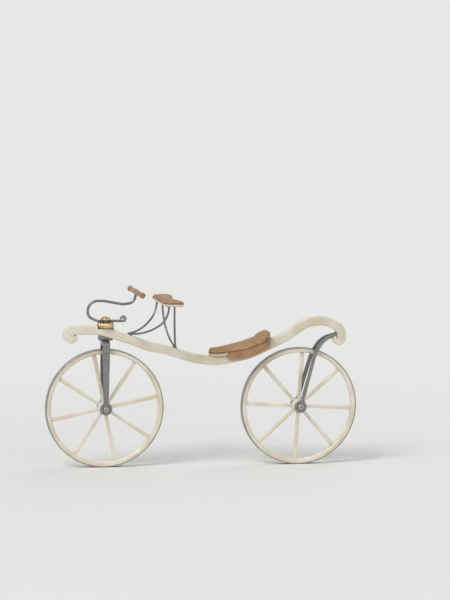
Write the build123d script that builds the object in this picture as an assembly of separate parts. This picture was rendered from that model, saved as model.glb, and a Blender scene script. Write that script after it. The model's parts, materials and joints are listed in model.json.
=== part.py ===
"""Hobby horse running machine: two equal wheels in line under one scrolled wooden perch.

Millimetres. +X is forward, +Y is the machine's left, +Z is up. While it is modelled, X = 0 is
the rear axle, Y = 0 the middle plane and Z = 0 the ground. Each piece is moved at the end so
that the origin is the top of the saddle, where the rider sits.
"""
from build123d import *
import os
from math import acos, atan, cos, degrees, pi, radians, sin

# Wheels
WHEEL_R = 350.0             # outer radius, over the iron tyre
WHEELBASE = 1170.0
TYRE_THICK = 6.0
TYRE_WIDTH = 38.0
FELLOE_DEPTH = 24.0         # radial depth of the wooden rim
FELLOE_WIDTH = 35.0
FELLOE_BEVEL = 5.0
FELLOE_COUNT = 4            # bent segments in a rim, two spokes to each
JOINT_KERF = 1.2            # sawn line where two felloes meet
KERF_DEPTH = 1.5
SPOKE_COUNT = 8
SPOKE_HUB_WIDTH = 18.0      # seen from the side, at the nave
SPOKE_RIM_WIDTH = 25.0      # seen from the side, at the rim
SPOKE_HUB_THICK = 24.0
SPOKE_RIM_THICK = 18.0
SPOKE_ROUND = 5.0
FRONT_SPOKE_TURN = 12.0     # degrees from straight back up to the first spoke
REAR_SPOKE_TURN = -3.0
NAVE_LENGTH = 92.0
NAVE_BELLY_R = 41.0
NAVE_BELLY_LENGTH = 40.0
NAVE_END_R = 29.0
BAND_WIDTH = 9.0
BAND_THICK = 2.5
BOX_WALL = 5.0              # iron axle box through the nave
BOX_PROUD = 1.0

# Axles
AXLE_R = 7.0
RUNNING_FIT = 0.06          # radial clearance of a turning fit
SNUG = 0.04                 # radial clearance of a fixed pin in its hole
SIDE_PLAY = 0.3             # between a turning face and the face beside it
COLLAR_R = 15.0
HUB_GAP = 6.0               # from the nave to the eye beside it
EYE_R = 36.0
BAR_THICK = 11.0            # of the fork's blades, the rear stays and their eyes
NUT_R = 14.0
NUT_THICK = 9.0
NUT_BEVEL = 2.0
AXLE_END_R = 6.0            # free end of the axle beyond its nut
AXLE_END = 12.0
AXLE_TIP_BEVEL = 1.0
DIMPLE_R = 3.0
DIMPLE_DEPTH = 2.0

# Perch
PERCH_DEPTH = 53.0
PERCH_WIDTH = 54.0
PERCH_ROUND = 7.0
# Corners of the middle line, front to rear: share of the wheelbase from the rear axle, x beyond
# that share, height over the wheels, bending radius
PERCH_CORNERS = [
    (1.0, 200.0, 112.5, 0.0),
    (1.0, 42.0, 112.5, 330.0),
    (1.0, -110.0, 67.0, 300.0),
    (1.0, -260.0, 12.0, 400.0),
    (0.6838, 0.0, -10.0, 500.0),
    (0.547, 0.0, -60.0, 420.0),
    (0.4376, 0.0, -78.0, 360.0),
    (0.265, 0.0, -40.0, 420.0),
    (0.0, 90.0, 64.0, 420.0),
    (0.0, -34.0, 148.0, 170.0),
    (0.0, -153.0, 163.0, 150.0),
    (0.0, -250.5, 112.0, 62.0),
    (0.0, -250.5, 52.0, 0.0),
]
FRONT_SCROLL_R = 52.0
FRONT_NUB_R = 32.0
REAR_SCROLL_R = 39.0
REAR_NUB_R = 15.0
SCROLL_SLIT = 6.0
SLIT_STOP = 4.0             # the slit ends this far short of the scroll's middle
VOLUTE_EYE_R = 9.0
VOLUTE_EYE_PROUD = 2.5

# Steering head
STEM_R = 12.0
HEAD_BLOCK_LENGTH = 84.0
HEAD_BLOCK_BASE = 50.0      # over the wheel
HEAD_BLOCK_MOULD_R = 9.0
HEAD_PLATE_R = 50.0
HEAD_PLATE_THICK = 4.0
HEAD_SEAT_DROP = 8.0        # level round seat sunk below the perch's top over the front axle
HEAD_SEAT_CLEAR = 5.5       # from the turning collar to the seat's wall
MELON_HEIGHT = 32.0
MELON_R = 51.0
MELON_END_R = 41.0
MELON_CORE_R = 39.0
MELON_RIBS = 14
TILLER_GAP = 0.5            # between the tiller rod and what lies over and under it
CAP_R = 29.5
CAP_TOP_R = 23.0
CAP_HEIGHT = 15.0

# Fork
CROWN_WIDTH = 43.0          # fore and aft
CROWN_THICK = 30.0
CROWN_LEG_DROP = 10.0       # the crown's legs end this far below the wheel's top
CROWN_SHOULDER_R = 26.0
BLADE_LOW_WIDTH = 27.0
BLADE_TOP_Y = 43.0          # middle of the blade's thickness, at the crown
BLADE_BEND_DROP = 40.0      # below the crown's legs
BLADE_BEND_LOW = 110.0      # over the axle
BLADE_BEND_R = 160.0
EYE_FLARE_R = 22.0
FORGED_EDGE = 2.0

# Tiller
TILLER_R = 7.75
CURL_R = 12.5
CURL_TURN = 274.0
CURL_BACK = 104.0           # from the head back to the curl
# Corners of the rod's line, from the head forward, round and up: ahead of the head, height over
# the head, bending radius
TILLER_CORNERS = [
    (50.0, 0.0, 60.0),
    (106.0, 26.0, 42.0),
    (106.0, 118.0, 58.0),
    (10.0, 118.0, 90.0),
    (-100.0, 98.0, 110.0),
    (-168.0, 106.0, 46.0),
    (-180.0, 170.0, 0.0),
]
GRIP_R = 15.0
GRIP_WAIST_R = 12.5
GRIP_LENGTH = 430.0
GRIP_KNOB_R = 17.0
GRIP_KNOB_LENGTH = 22.0
GRIP_KNOB_ROUND = 5.0

# Arm-rest
ARM_REST_BACK = 370.0       # from the head back to its middle
ARM_REST_BASE = 268.0       # over the wheels
ARM_REST_SPAN = 460.0
ARM_REST_DEPTH = 124.0      # fore and aft
ARM_REST_HOLLOW = 34.0      # how far the rear edge is hollowed in the middle
ARM_REST_HORN = 65.0        # of the rear edge beyond each end of the hollow
ARM_REST_CORNER_R = 44.0
BOARD_THICK = 14.0
BOARD_BEVEL = 8.0
PAD_THICK = 22.0
PAD_INSET = 4.0
PAD_ROUND = 16.0
STAY_R = 6.0
STAY_TOP_Y = 192.0
STAY_FOOT_Y = 15.0
STAY_PALM_R = 12.0
STAY_PALM_THICK = 4.0
STAY_FOOT_GAP = 0.5         # between the rod's rounded foot and the wood
FRONT_STAY_TOP_BACK = 340.0
FRONT_STAY_FOOT_BACK = 144.0
FRONT_STAY_SWEEP = 35.0     # degrees of the long low arc, before the short upright one
REAR_STAY_TOP_BACK = 373.0
REAR_STAY_FOOT_BACK = 416.0

# Rear stays, from the perch's rear scroll to the rear axle
REAR_STAY_WIDTH = 21.0
# Corners of a stay's line seen from the side, root to axle: x, height over the wheel, radius
REAR_STAY_CORNERS = [
    (-235.0, 78.0, 0.0),
    (-140.0, 54.0, 135.0),
    (-84.0, -38.0, 350.0),
    (0.0, -WHEEL_R, 0.0),
]
# Corners of the same line seen from above: x, y, radius, before the eye's own straight
REAR_STAY_SPREAD = [
    (-260.0, 18.0, 0.0),
    (-186.0, 18.0, 60.0),
    (-112.0, 36.0, 80.0),
]
REAR_STAY_FLARE_R = 18.0
EYE_BEND_R = 50.0

# Saddle
SADDLE_REAR_X = 183.0
SADDLE_LENGTH = 370.0
# Outline from above, rear to front: share of the length, half width, corner radius
SADDLE_OUTLINE = [
    (0.0, 92.0, 55.0),
    (0.36, 88.0, 120.0),
    (0.64, 48.0, 120.0),
    (1.0, 40.0, 30.0),
]
TREE_THICK = 14.0
TREE_INSET = 6.0
SEAT_AHEAD = 157.0          # from the saddle's rear to where the rider sits
SEAT_PAD_THICK = 42.0
CANTLE_RISE = 16.0          # of the cantle over the rest of the pad
CANTLE_LENGTH = 90.0
SEAT_ROUND = 15.0
SOFT_GAP = 0.3              # under stuffed leather
FLAP_THICK = 5.0
FLAP_DROP = 34.0            # below the perch's top
FLAP_LENGTH = 250.0
FLAP_START = 14.0           # from the saddle's rear

HEAD_X = WHEELBASE
WHEEL_TOP_Z = 2 * WHEEL_R
EYE_INNER_Y = NAVE_LENGTH / 2 + HUB_GAP
EYE_MID_Y = EYE_INNER_Y + BAR_THICK / 2
EYE_OUTER_Y = EYE_INNER_Y + BAR_THICK
NUT_OUTER_Y = EYE_OUTER_Y + NUT_THICK
AXLE_HALF = NUT_OUTER_Y + AXLE_END
RIM_R = WHEEL_R - TYRE_THICK
RIM_INNER_R = RIM_R - FELLOE_DEPTH
BOX_HALF = NAVE_LENGTH / 2 + BOX_PROUD
FAR = 4000.0                # longer than the machine, for cutting tools
SIDES = [("left", 1), ("right", -1)]


def turned(points, x, z):
    """A turning: (distance along the axle, radius) points revolved about a cross axle at x, z."""
    face = make_face(Polyline(*[(r, y) for y, r in points], close=True))
    return Pos(x, 0, z) * revolve(face, Axis.Y, 360)


def upright_turning(points, x):
    """A turning about the upright line at x, from (radius, height) points."""
    face = Plane.XZ * make_face(Polyline(*points, close=True))
    return Pos(x, 0, 0) * revolve(face, Axis.Z, 360)


def rod_y(x, z, radius, y0, y1):
    """A plain cylinder across the machine, from y0 to y1."""
    return Pos(x, (y0 + y1) / 2, z) * Rot(90, 0, 0) * Cylinder(radius, abs(y1 - y0))


def rod_z(x, y, radius, z0, z1):
    """A plain upright cylinder from z0 to z1."""
    return Pos(x, y, (z0 + z1) / 2) * Cylinder(radius, z1 - z0)


def bent_line(corners):
    """Straight runs joined by tangent arcs, drawn on a flat plane from (x, y, radius) corners."""
    points = [(a, b) for a, b, _ in corners]
    radii = [r for _, _, r in corners[1:-1]]
    return FilletPolyline(*points, radius=radii)


def band(corners, width):
    """A flat strip of even width along a bent line."""
    return trace(bent_line(corners), width)


def seen_from_side(sketch, y0, y1):
    """A sketch of x and z, made solid from y0 to y1."""
    return extrude(Plane(origin=(0, y1, 0), x_dir=(1, 0, 0), z_dir=(0, -1, 0)) * sketch, y1 - y0)


def seen_from_front(sketch, x0, x1):
    """A sketch of y and z, made solid from x0 to x1."""
    return extrude(Plane(origin=(x0, 0, 0), x_dir=(0, 1, 0), z_dir=(1, 0, 0)) * sketch, x1 - x0)


def seen_from_above(sketch, z0, z1):
    """A sketch of x and y, made solid from z0 to z1."""
    return extrude(Pos(0, 0, z0) * sketch, z1 - z0)


def mirrored(shape, side):
    """The left-hand piece as it is, or its mirror image for the right."""
    return shape if side > 0 else mirror(shape, Plane.XZ)


pieces = {}

# Perch: the outline is the bent beam, with a volute rolled under at each end
perch_line = [(share * WHEELBASE + x, WHEEL_TOP_Z + up, r) for share, x, up, r in PERCH_CORNERS]


def scroll(tip, before, inner_turn, outer_r, nub_r):
    """The rolled end of the beam with its nub, flat and solid, the slit, and the volute's middle."""
    here = Vector(*tip[:2])
    ahead = (here - Vector(*before[:2])).normalized()
    inward = ahead.rotate(Axis.Z, inner_turn)

    def at(along, across):
        spot = here + ahead * along + inward * across
        return (spot.X, spot.Y)

    half = PERCH_DEPTH / 2
    reach = 2 * outer_r
    front_half = make_face(Polyline(at(0, -half), at(reach, -half), at(reach, reach), at(0, reach), close=True))
    middle = at(0, outer_r - half)
    nub_middle = at(0, 2 * outer_r - half - nub_r)
    flat = ((Pos(*middle) * Circle(outer_r)) & front_half) + Pos(*nub_middle) * Circle(nub_r)
    beam_end = make_face(Polyline(at(-reach, -half), at(0, -half), at(0, half), at(-reach, half), close=True))
    solid = rounded_disc(*middle, outer_r) & slab(front_half, FAR)
    solid += rounded_disc(*nub_middle, nub_r) - slab(beam_end, FAR)
    slit_end = -SLIT_STOP - SCROLL_SLIT / 2
    slit_mouth = -nub_r - SCROLL_SLIT
    slit = make_face(Polyline(
        at(slit_mouth, half), at(slit_end, half), at(slit_end, half + SCROLL_SLIT),
        at(slit_mouth, half + SCROLL_SLIT), close=True))
    slit += Pos(*at(slit_end, half + SCROLL_SLIT / 2)) * Circle(SCROLL_SLIT / 2)
    solid -= slab(slit, FAR)
    solid += rod_y(*middle, VOLUTE_EYE_R, -PERCH_WIDTH / 2 - VOLUTE_EYE_PROUD, PERCH_WIDTH / 2 + VOLUTE_EYE_PROUD)
    return flat, solid


def slab(sketch, width):
    """A sketch of x and z, made solid to half the width on each side of the middle plane."""
    return seen_from_side(sketch, -width / 2, width / 2)


def rounded_disc(x, z, radius):
    """A disc as wide as the perch, its rims rounded like the perch's edges."""
    disc = rod_y(x, z, radius, -PERCH_WIDTH / 2, PERCH_WIDTH / 2)
    return fillet(disc.edges().filter_by(GeomType.CIRCLE), PERCH_ROUND)


front_flat, front_scroll = scroll(perch_line[0], perch_line[1], -90, FRONT_SCROLL_R, FRONT_NUB_R)
rear_flat, rear_scroll = scroll(perch_line[-1], perch_line[-2], 90, REAR_SCROLL_R, REAR_NUB_R)
beam_flat = band(perch_line, PERCH_DEPTH)
perch_outline = beam_flat + front_flat + rear_flat


def perch_height(x):
    """Lowest and highest point of the perch's outline at x, clear of the scrolls."""
    cut = perch_outline.face().intersect(Edge.make_line((x, 0), (x, FAR)))
    heights = [v.Y for v in cut.vertices()]
    return min(heights), max(heights)


def perch_slope(x):
    """Angle in degrees of the perch's top at x, upwards to the front."""
    step = 2.0
    rise = perch_height(x + step)[1] - perch_height(x - step)[1]
    return degrees(atan(rise / (2 * step)))


beam = slab(beam_flat, PERCH_WIDTH)
beam_block = slab(beam_flat, ARM_REST_SPAN)
tips = [Vector(tip[0], 0, tip[1]) for tip in (perch_line[0], perch_line[-1])]


def is_long_edge(edge):
    """True for the edges that run along the beam, and not across its two ends."""
    middle = edge @ 0.5
    return min((Vector(middle.X, 0, middle.Z) - tip).length for tip in tips) > 1


beam = fillet(beam.faces().filter_by(Axis.Y).edges().filter_by(is_long_edge), PERCH_ROUND)
perch = beam + front_scroll + rear_scroll
perch_whole = perch
HEAD_SEAT_Z = perch_height(HEAD_X)[1] - HEAD_SEAT_DROP
stem_hole = rod_z(HEAD_X, 0, STEM_R + RUNNING_FIT, 0, FAR)
perch -= rod_z(HEAD_X, 0, MELON_R + HEAD_SEAT_CLEAR, HEAD_SEAT_Z, HEAD_SEAT_Z + PERCH_DEPTH)
perch -= stem_hole
pieces["perch"] = perch


def layer(plan, low, high):
    """A layer between two heights over the perch's top, with its outline given from above."""
    column = seen_from_above(plan, WHEEL_TOP_Z - 2 * PERCH_DEPTH, WHEEL_TOP_Z + 4 * PERCH_DEPTH)
    return ((Pos(0, 0, high) * beam_block) & column) - Pos(0, 0, low) * beam_block


# Steering head, the fixed pieces: a moulded block under the perch, and a wear plate that fills the
# seat's open rear end as a wedge
HEAD_BLOCK_BASE_Z = WHEEL_TOP_Z + HEAD_BLOCK_BASE
block_top = perch_height(HEAD_X + HEAD_BLOCK_LENGTH / 2)[0] + PERCH_ROUND
head_block = Pos(HEAD_X, 0, (HEAD_BLOCK_BASE_Z + block_top) / 2) * Box(
    HEAD_BLOCK_LENGTH, PERCH_WIDTH - 2 * PERCH_ROUND, block_top - HEAD_BLOCK_BASE_Z)
head_block = fillet(head_block.faces().sort_by(Axis.Z)[0].edges(), HEAD_BLOCK_MOULD_R)
pieces["head_block"] = head_block - perch_whole - stem_hole

HEAD_PLATE_TOP_Z = HEAD_SEAT_Z + HEAD_PLATE_THICK
head_plate = rod_z(HEAD_X, 0, HEAD_PLATE_R, HEAD_SEAT_Z - PERCH_DEPTH / 2, HEAD_PLATE_TOP_Z)
head_plate &= Pos(HEAD_X, 0, HEAD_SEAT_Z) * Box(2 * HEAD_PLATE_R, PERCH_WIDTH - 2 * PERCH_ROUND, PERCH_DEPTH)
pieces["head_plate"] = head_plate - perch - stem_hole

# Steering head, the turning pieces
MELON_BASE_Z = HEAD_PLATE_TOP_Z + SIDE_PLAY
TILLER_Z = MELON_BASE_Z + MELON_HEIGHT + TILLER_GAP + TILLER_R
CAP_BASE_Z = TILLER_Z + TILLER_R + TILLER_GAP
CAP_TOP_Z = CAP_BASE_Z + CAP_HEIGHT
STEM_TOP_Z = CAP_TOP_Z - CAP_HEIGHT / 3
CROWN_TOP_Z = HEAD_BLOCK_BASE_Z - SIDE_PLAY
CROWN_BASE_Z = CROWN_TOP_Z - CROWN_THICK
CROWN_LEG_Z = WHEEL_TOP_Z - CROWN_LEG_DROP
stem_socket = rod_z(HEAD_X, 0, STEM_R + SNUG, 0, STEM_TOP_Z + SNUG)

# Each rib of the melon-shaped collar is a small barrel, and the barrels stand in a ring
rib_r = 1.24 * pi * MELON_R / MELON_RIBS
rib_end_r = rib_r - (MELON_R - MELON_END_R)
rib_face = make_face([
    Line((0, 0), (rib_end_r, 0)),
    ThreePointArc((rib_end_r, 0), (rib_r, MELON_HEIGHT / 2), (rib_end_r, MELON_HEIGHT)),
    Line((rib_end_r, MELON_HEIGHT), (0, MELON_HEIGHT)),
    Line((0, MELON_HEIGHT), (0, 0))])
rib = Pos(MELON_R - rib_r, 0, 0) * revolve(Plane.XZ * rib_face, Axis.Z, 360)
melon = rod_z(0, 0, MELON_CORE_R, 0, MELON_HEIGHT)
melon += [Rot(0, 0, 360 * k / MELON_RIBS) * rib for k in range(MELON_RIBS)]
pieces["ribbed_collar"] = Pos(HEAD_X, 0, MELON_BASE_Z) * melon - stem_socket

cap_nut = upright_turning([
    (0, CAP_BASE_Z), (CAP_R, CAP_BASE_Z), (CAP_R, CAP_BASE_Z + CAP_HEIGHT / 3),
    (CAP_TOP_R, CAP_TOP_Z - CAP_HEIGHT / 6), (CAP_TOP_R - CAP_HEIGHT / 4, CAP_TOP_Z), (0, CAP_TOP_Z)], HEAD_X)
pieces["cap_nut"] = cap_nut - stem_socket

steering_stem = rod_z(HEAD_X, 0, STEM_R, CROWN_BASE_Z, STEM_TOP_Z)
tiller_hole = Pos(HEAD_X, 0, TILLER_Z) * Rot(0, 90, 0) * Cylinder(TILLER_R + SNUG, 4 * STEM_R)
pieces["steering_stem"] = steering_stem - tiller_hole

# Tiller rod: a curl behind the head, a loop in front of it, and an upright to the grip
tiller_line = [(HEAD_X - CURL_BACK, TILLER_Z, 0.0)] + [
    (HEAD_X + x, TILLER_Z + up, r) for x, up, r in TILLER_CORNERS]
curl = CenterArc((HEAD_X - CURL_BACK, TILLER_Z + CURL_R), CURL_R, -90 - CURL_TURN, CURL_TURN)
tiller_path = Plane.XZ * Wire(curl.edges() + bent_line(tiller_line).edges())
tiller_start = Plane(tiller_path @ 0, z_dir=tiller_path % 0)
pieces["tiller_rod"] = sweep(tiller_start * Circle(TILLER_R), path=tiller_path)

# Cross grip, turned in wood
grip_x, grip_z = tiller_line[-1][:2]
grip_half = GRIP_LENGTH / 2
grip_knob = grip_half - GRIP_KNOB_LENGTH
grip_side = [
    (GRIP_KNOB_LENGTH / 2, GRIP_KNOB_R), (GRIP_KNOB_LENGTH, GRIP_R), (grip_half / 2, GRIP_R),
    (grip_knob, GRIP_WAIST_R), (grip_knob + GRIP_KNOB_ROUND, GRIP_KNOB_R),
    (grip_half - GRIP_KNOB_ROUND, GRIP_KNOB_R), (grip_half, GRIP_KNOB_R - GRIP_KNOB_ROUND), (grip_half, 0)]
handle_grip = turned([(-y, r) for y, r in reversed(grip_side)] + grip_side, grip_x, grip_z)
rod_way = tiller_path % 1
grip_hole = Plane(tiller_path @ 1 - rod_way * GRIP_LENGTH / 2, z_dir=rod_way) * extrude(
    Circle(TILLER_R + SNUG), GRIP_LENGTH / 2 + SNUG)
pieces["handle_grip"] = handle_grip - grip_hole

# Fork: an arched crown over the wheel, and a blade down each side to the axle
leg_outer = BLADE_TOP_Y + BAR_THICK / 2
leg_inner = BLADE_TOP_Y - BAR_THICK / 2
arch = Pos(0, CROWN_LEG_Z) * Rectangle(2 * leg_outer, CROWN_TOP_Z - CROWN_LEG_Z, align=(Align.CENTER, Align.MIN))
arch = fillet(arch.vertices().group_by(Axis.Y)[-1], CROWN_SHOULDER_R)
void = Pos(0, CROWN_LEG_Z) * Rectangle(2 * leg_inner, CROWN_BASE_Z - CROWN_LEG_Z, align=(Align.CENTER, Align.MIN))
void = fillet(void.vertices().group_by(Axis.Y)[-1], CROWN_SHOULDER_R / 2)
fork_crown = seen_from_front(arch - void, HEAD_X - CROWN_WIDTH / 2, HEAD_X + CROWN_WIDTH / 2)
crown_edges = fork_crown.faces().filter_by(Axis.X).edges().filter_by(lambda e: (e @ 0.5).Z > CROWN_LEG_Z + 1)
fork_crown = fillet(crown_edges, FORGED_EDGE)
pieces["fork_crown"] = fork_crown - stem_socket

blade_side = make_face(Polyline(
    (HEAD_X - CROWN_WIDTH / 2, CROWN_LEG_Z), (HEAD_X + CROWN_WIDTH / 2, CROWN_LEG_Z),
    (HEAD_X + BLADE_LOW_WIDTH / 2, WHEEL_R), (HEAD_X - BLADE_LOW_WIDTH / 2, WHEEL_R), close=True))
blade_side += Pos(HEAD_X, WHEEL_R) * Circle(EYE_R)
flares = blade_side.vertices().filter_by(lambda v: WHEEL_R < v.Y < CROWN_LEG_Z - 1)
blade_side = fillet(flares, EYE_FLARE_R)
blade_front = band([
    (BLADE_TOP_Y, CROWN_LEG_Z, 0), (BLADE_TOP_Y, CROWN_LEG_Z - BLADE_BEND_DROP, BLADE_BEND_R),
    (EYE_MID_Y, WHEEL_R + BLADE_BEND_LOW, BLADE_BEND_R), (EYE_MID_Y, WHEEL_R - EYE_R - 1, 0)], BAR_THICK)
blade = seen_from_side(blade_side, 0, FAR / 10) & seen_from_front(
    blade_front, HEAD_X - 2 * EYE_R, HEAD_X + 2 * EYE_R)
blade -= rod_y(HEAD_X, WHEEL_R, AXLE_R + SNUG, 0, FAR)
for name, side in SIDES:
    pieces["fork_blade_" + name] = mirrored(blade, side)

# Rear stays: the bar's side view and its plan, crossed
stay_line = [(x, WHEEL_TOP_Z + up, r) for x, up, r in REAR_STAY_CORNERS]
stay_side = band(stay_line, REAR_STAY_WIDTH) + Pos(0, WHEEL_R) * Circle(EYE_R)
flares = stay_side.vertices().filter_by(lambda v: WHEEL_R < v.Y < WHEEL_R + 2 * EYE_R)
stay_side = fillet(flares, REAR_STAY_FLARE_R)
stay_plan = band(REAR_STAY_SPREAD + [
    (-EYE_R, EYE_MID_Y, EYE_BEND_R), (EYE_R + 1, EYE_MID_Y, 0)], BAR_THICK)
rear_stay = seen_from_side(stay_side, 0, FAR / 10) & seen_from_above(stay_plan, 0, FAR)
rear_stay -= rod_y(0, WHEEL_R, AXLE_R + SNUG, 0, FAR)
rear_stay -= perch_whole
for name, side in SIDES:
    pieces["rear_stay_" + name] = mirrored(rear_stay, side)


# Axles and their nuts, alike front and rear
def axle(x):
    """A turned axle: a journal, a collar each side of the wheel, a free end beyond each nut."""
    collar_y = BOX_HALF + SIDE_PLAY
    side = [
        (collar_y, AXLE_R), (collar_y, COLLAR_R), (EYE_INNER_Y, COLLAR_R), (EYE_INNER_Y, AXLE_R),
        (NUT_OUTER_Y, AXLE_R), (NUT_OUTER_Y, AXLE_END_R), (AXLE_HALF - AXLE_TIP_BEVEL, AXLE_END_R),
        (AXLE_HALF, AXLE_END_R - AXLE_TIP_BEVEL), (AXLE_HALF, DIMPLE_R), (AXLE_HALF - DIMPLE_DEPTH, 0)]
    return turned([(-y, r) for y, r in reversed(side)] + side, x, WHEEL_R)


def axle_nut(x, side):
    """A round nut with a bevelled face and two flats for the spanner."""
    nut = turned([
        (EYE_OUTER_Y, AXLE_R + SNUG), (EYE_OUTER_Y, NUT_R), (NUT_OUTER_Y - NUT_BEVEL, NUT_R),
        (NUT_OUTER_Y, NUT_R - NUT_BEVEL), (NUT_OUTER_Y, AXLE_R + SNUG)], x, WHEEL_R)
    jaw = Pos(x, NUT_OUTER_Y, WHEEL_R) * Box(2 * NUT_R - NUT_BEVEL, NUT_THICK, 4 * NUT_R)
    rim = rod_y(x, WHEEL_R, 2 * NUT_R, NUT_OUTER_Y - NUT_THICK / 2, NUT_OUTER_Y) - jaw
    return mirrored(nut - rim, side)


for end, axle_x in (("front", WHEELBASE), ("rear", 0.0)):
    pieces[end + "_axle"] = axle(axle_x)
    for name, side in SIDES:
        pieces[end + "_axle_nut_" + name] = axle_nut(axle_x, side)

# Wheels
nave_half = NAVE_LENGTH / 2
band_inner = nave_half - BAND_WIDTH
belly = NAVE_BELLY_LENGTH / 2
BOX_R = AXLE_R + RUNNING_FIT + BOX_WALL


def nave_turning(bore):
    """The turned wooden nave: a belly for the spokes, a hollowed neck and a straight end."""
    side = [
        (belly, NAVE_BELLY_R), (belly + 3, NAVE_BELLY_R - 5), (band_inner - 3, NAVE_END_R),
        (band_inner, NAVE_END_R + BAND_THICK), (band_inner, NAVE_END_R), (nave_half, NAVE_END_R),
        (nave_half, bore)]
    return turned([(-y, r) for y, r in reversed(side)] + side, 0, 0)


def spoke():
    """One spoke, straight up: wider at the rim seen from the side, thicker at the nave."""
    foot = NAVE_BELLY_R - SPOKE_ROUND

    def taper(at_foot, at_rim):
        return make_face(Polyline((-at_foot / 2, foot), (at_foot / 2, foot), (at_rim / 2, RIM_R),
                                  (-at_rim / 2, RIM_R), close=True))

    side_view = seen_from_side(taper(SPOKE_HUB_WIDTH, SPOKE_RIM_WIDTH), -nave_half, nave_half)
    end_view = seen_from_front(taper(SPOKE_HUB_THICK, SPOKE_RIM_THICK), -nave_half, nave_half)
    blank = side_view & end_view
    long_edges = blank.edges().filter_by(lambda e: abs((e % 0.5).Z) > 0.9)
    blank = fillet(long_edges, SPOKE_ROUND)
    blank &= rod_y(0, 0, RIM_INNER_R, -nave_half, nave_half)
    return blank - rod_y(0, 0, NAVE_BELLY_R, -nave_half, nave_half)


def felloes(first_joint):
    """The wooden rim, bevelled inside, with a fine sawn line where its bent segments meet."""
    half = FELLOE_WIDTH / 2
    ring = turned([
        (-half, RIM_INNER_R + FELLOE_BEVEL), (-half + FELLOE_BEVEL, RIM_INNER_R),
        (half - FELLOE_BEVEL, RIM_INNER_R), (half, RIM_INNER_R + FELLOE_BEVEL), (half, RIM_R), (-half, RIM_R)], 0, 0)
    outer = Box(JOINT_KERF, 2 * FELLOE_WIDTH, 2 * FELLOE_DEPTH)
    core = Pos(0, 0, KERF_DEPTH) * Box(2 * JOINT_KERF, FELLOE_WIDTH - 2 * KERF_DEPTH, FELLOE_DEPTH)
    kerf = Pos(0, 0, RIM_INNER_R + FELLOE_DEPTH / 2) * (outer - core)
    for k in range(FELLOE_COUNT):
        ring -= Rot(0, first_joint + 360 * k / FELLOE_COUNT, 0) * kerf
    return ring


def wheel(end, x, spoke_turn):
    """All the pieces of one wheel, its first spoke turned up from straight back by spoke_turn."""
    place = Pos(x, 0, WHEEL_R)
    pitch = 360 / SPOKE_COUNT
    pieces[end + "_nave"] = place * nave_turning(BOX_R)
    hoop = [(band_inner, NAVE_END_R), (band_inner, NAVE_END_R + BAND_THICK),
            (nave_half, NAVE_END_R + BAND_THICK), (nave_half, NAVE_END_R)]
    left_hoop = turned(hoop, 0, 0)
    pieces[end + "_nave_bands"] = place * (Part() + [left_hoop, mirror(left_hoop, Plane.XZ)])
    box = [(-BOX_HALF, AXLE_R + RUNNING_FIT), (-BOX_HALF, BOX_R), (BOX_HALF, BOX_R), (BOX_HALF, AXLE_R + RUNNING_FIT)]
    pieces[end + "_axle_box"] = place * turned(box, 0, 0)
    one = spoke()
    turns = [-90 + spoke_turn + pitch * k for k in range(SPOKE_COUNT)]
    pieces[end + "_spokes"] = place * (Part() + [Rot(0, turn, 0) * one for turn in turns])
    pieces[end + "_felloes"] = place * felloes(-90 + spoke_turn + pitch / 2)
    half = TYRE_WIDTH / 2
    tyre = [(-half, RIM_R), (-half, WHEEL_R - 1), (-half + 1, WHEEL_R), (half - 1, WHEEL_R), (half, WHEEL_R - 1),
            (half, RIM_R)]
    pieces[end + "_tyre"] = place * turned(tyre, 0, 0)


wheel("front", WHEELBASE, FRONT_SPOKE_TURN)
wheel("rear", 0.0, REAR_SPOKE_TURN)

# Arm-rest: a hollowed board with a stuffed pad, on four bent stays
ARM_REST_X = HEAD_X - ARM_REST_BACK
ARM_REST_BASE_Z = WHEEL_TOP_Z + ARM_REST_BASE
BOARD_TOP_Z = ARM_REST_BASE_Z + BOARD_THICK


def arm_rest_plan(inset):
    """The arm-rest from above: a rounded bar with its rear edge hollowed for the body."""
    plan = Pos(ARM_REST_X, 0) * RectangleRounded(
        ARM_REST_DEPTH - 2 * inset, ARM_REST_SPAN - 2 * inset, ARM_REST_CORNER_R - inset)
    half_chord = ARM_REST_SPAN / 2 - ARM_REST_HORN
    hollow_r = (half_chord ** 2 + ARM_REST_HOLLOW ** 2) / (2 * ARM_REST_HOLLOW)
    rear_edge = ARM_REST_X - ARM_REST_DEPTH / 2
    return plan - Pos(rear_edge + ARM_REST_HOLLOW - hollow_r, 0) * Circle(hollow_r + inset)


board = seen_from_above(arm_rest_plan(0), ARM_REST_BASE_Z, BOARD_TOP_Z)
pieces["arm_rest_board"] = chamfer(board.faces().sort_by(Axis.Z)[0].edges(), BOARD_BEVEL)
arm_pad = seen_from_above(arm_rest_plan(PAD_INSET), BOARD_TOP_Z + SOFT_GAP, BOARD_TOP_Z + PAD_THICK)
pieces["arm_rest_pad"] = fillet(arm_pad.faces().sort_by(Axis.Z)[-1].edges(), PAD_ROUND)


def stay_rod(path, foot, top):
    """A round stay swept along its path, with a round palm on the perch and one under the board."""
    rod = sweep(Plane(path @ 0, z_dir=path % 0) * Circle(STAY_R), path=path)
    rod += Pos(*foot) * Sphere(STAY_R)
    rod += layer(Pos(foot.X, foot.Y) * Circle(STAY_PALM_R), 0, STAY_PALM_THICK)
    rod += Pos(top.X, top.Y, ARM_REST_BASE_Z - STAY_PALM_THICK / 2) * Cylinder(STAY_PALM_R, STAY_PALM_THICK)
    return rod


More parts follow.
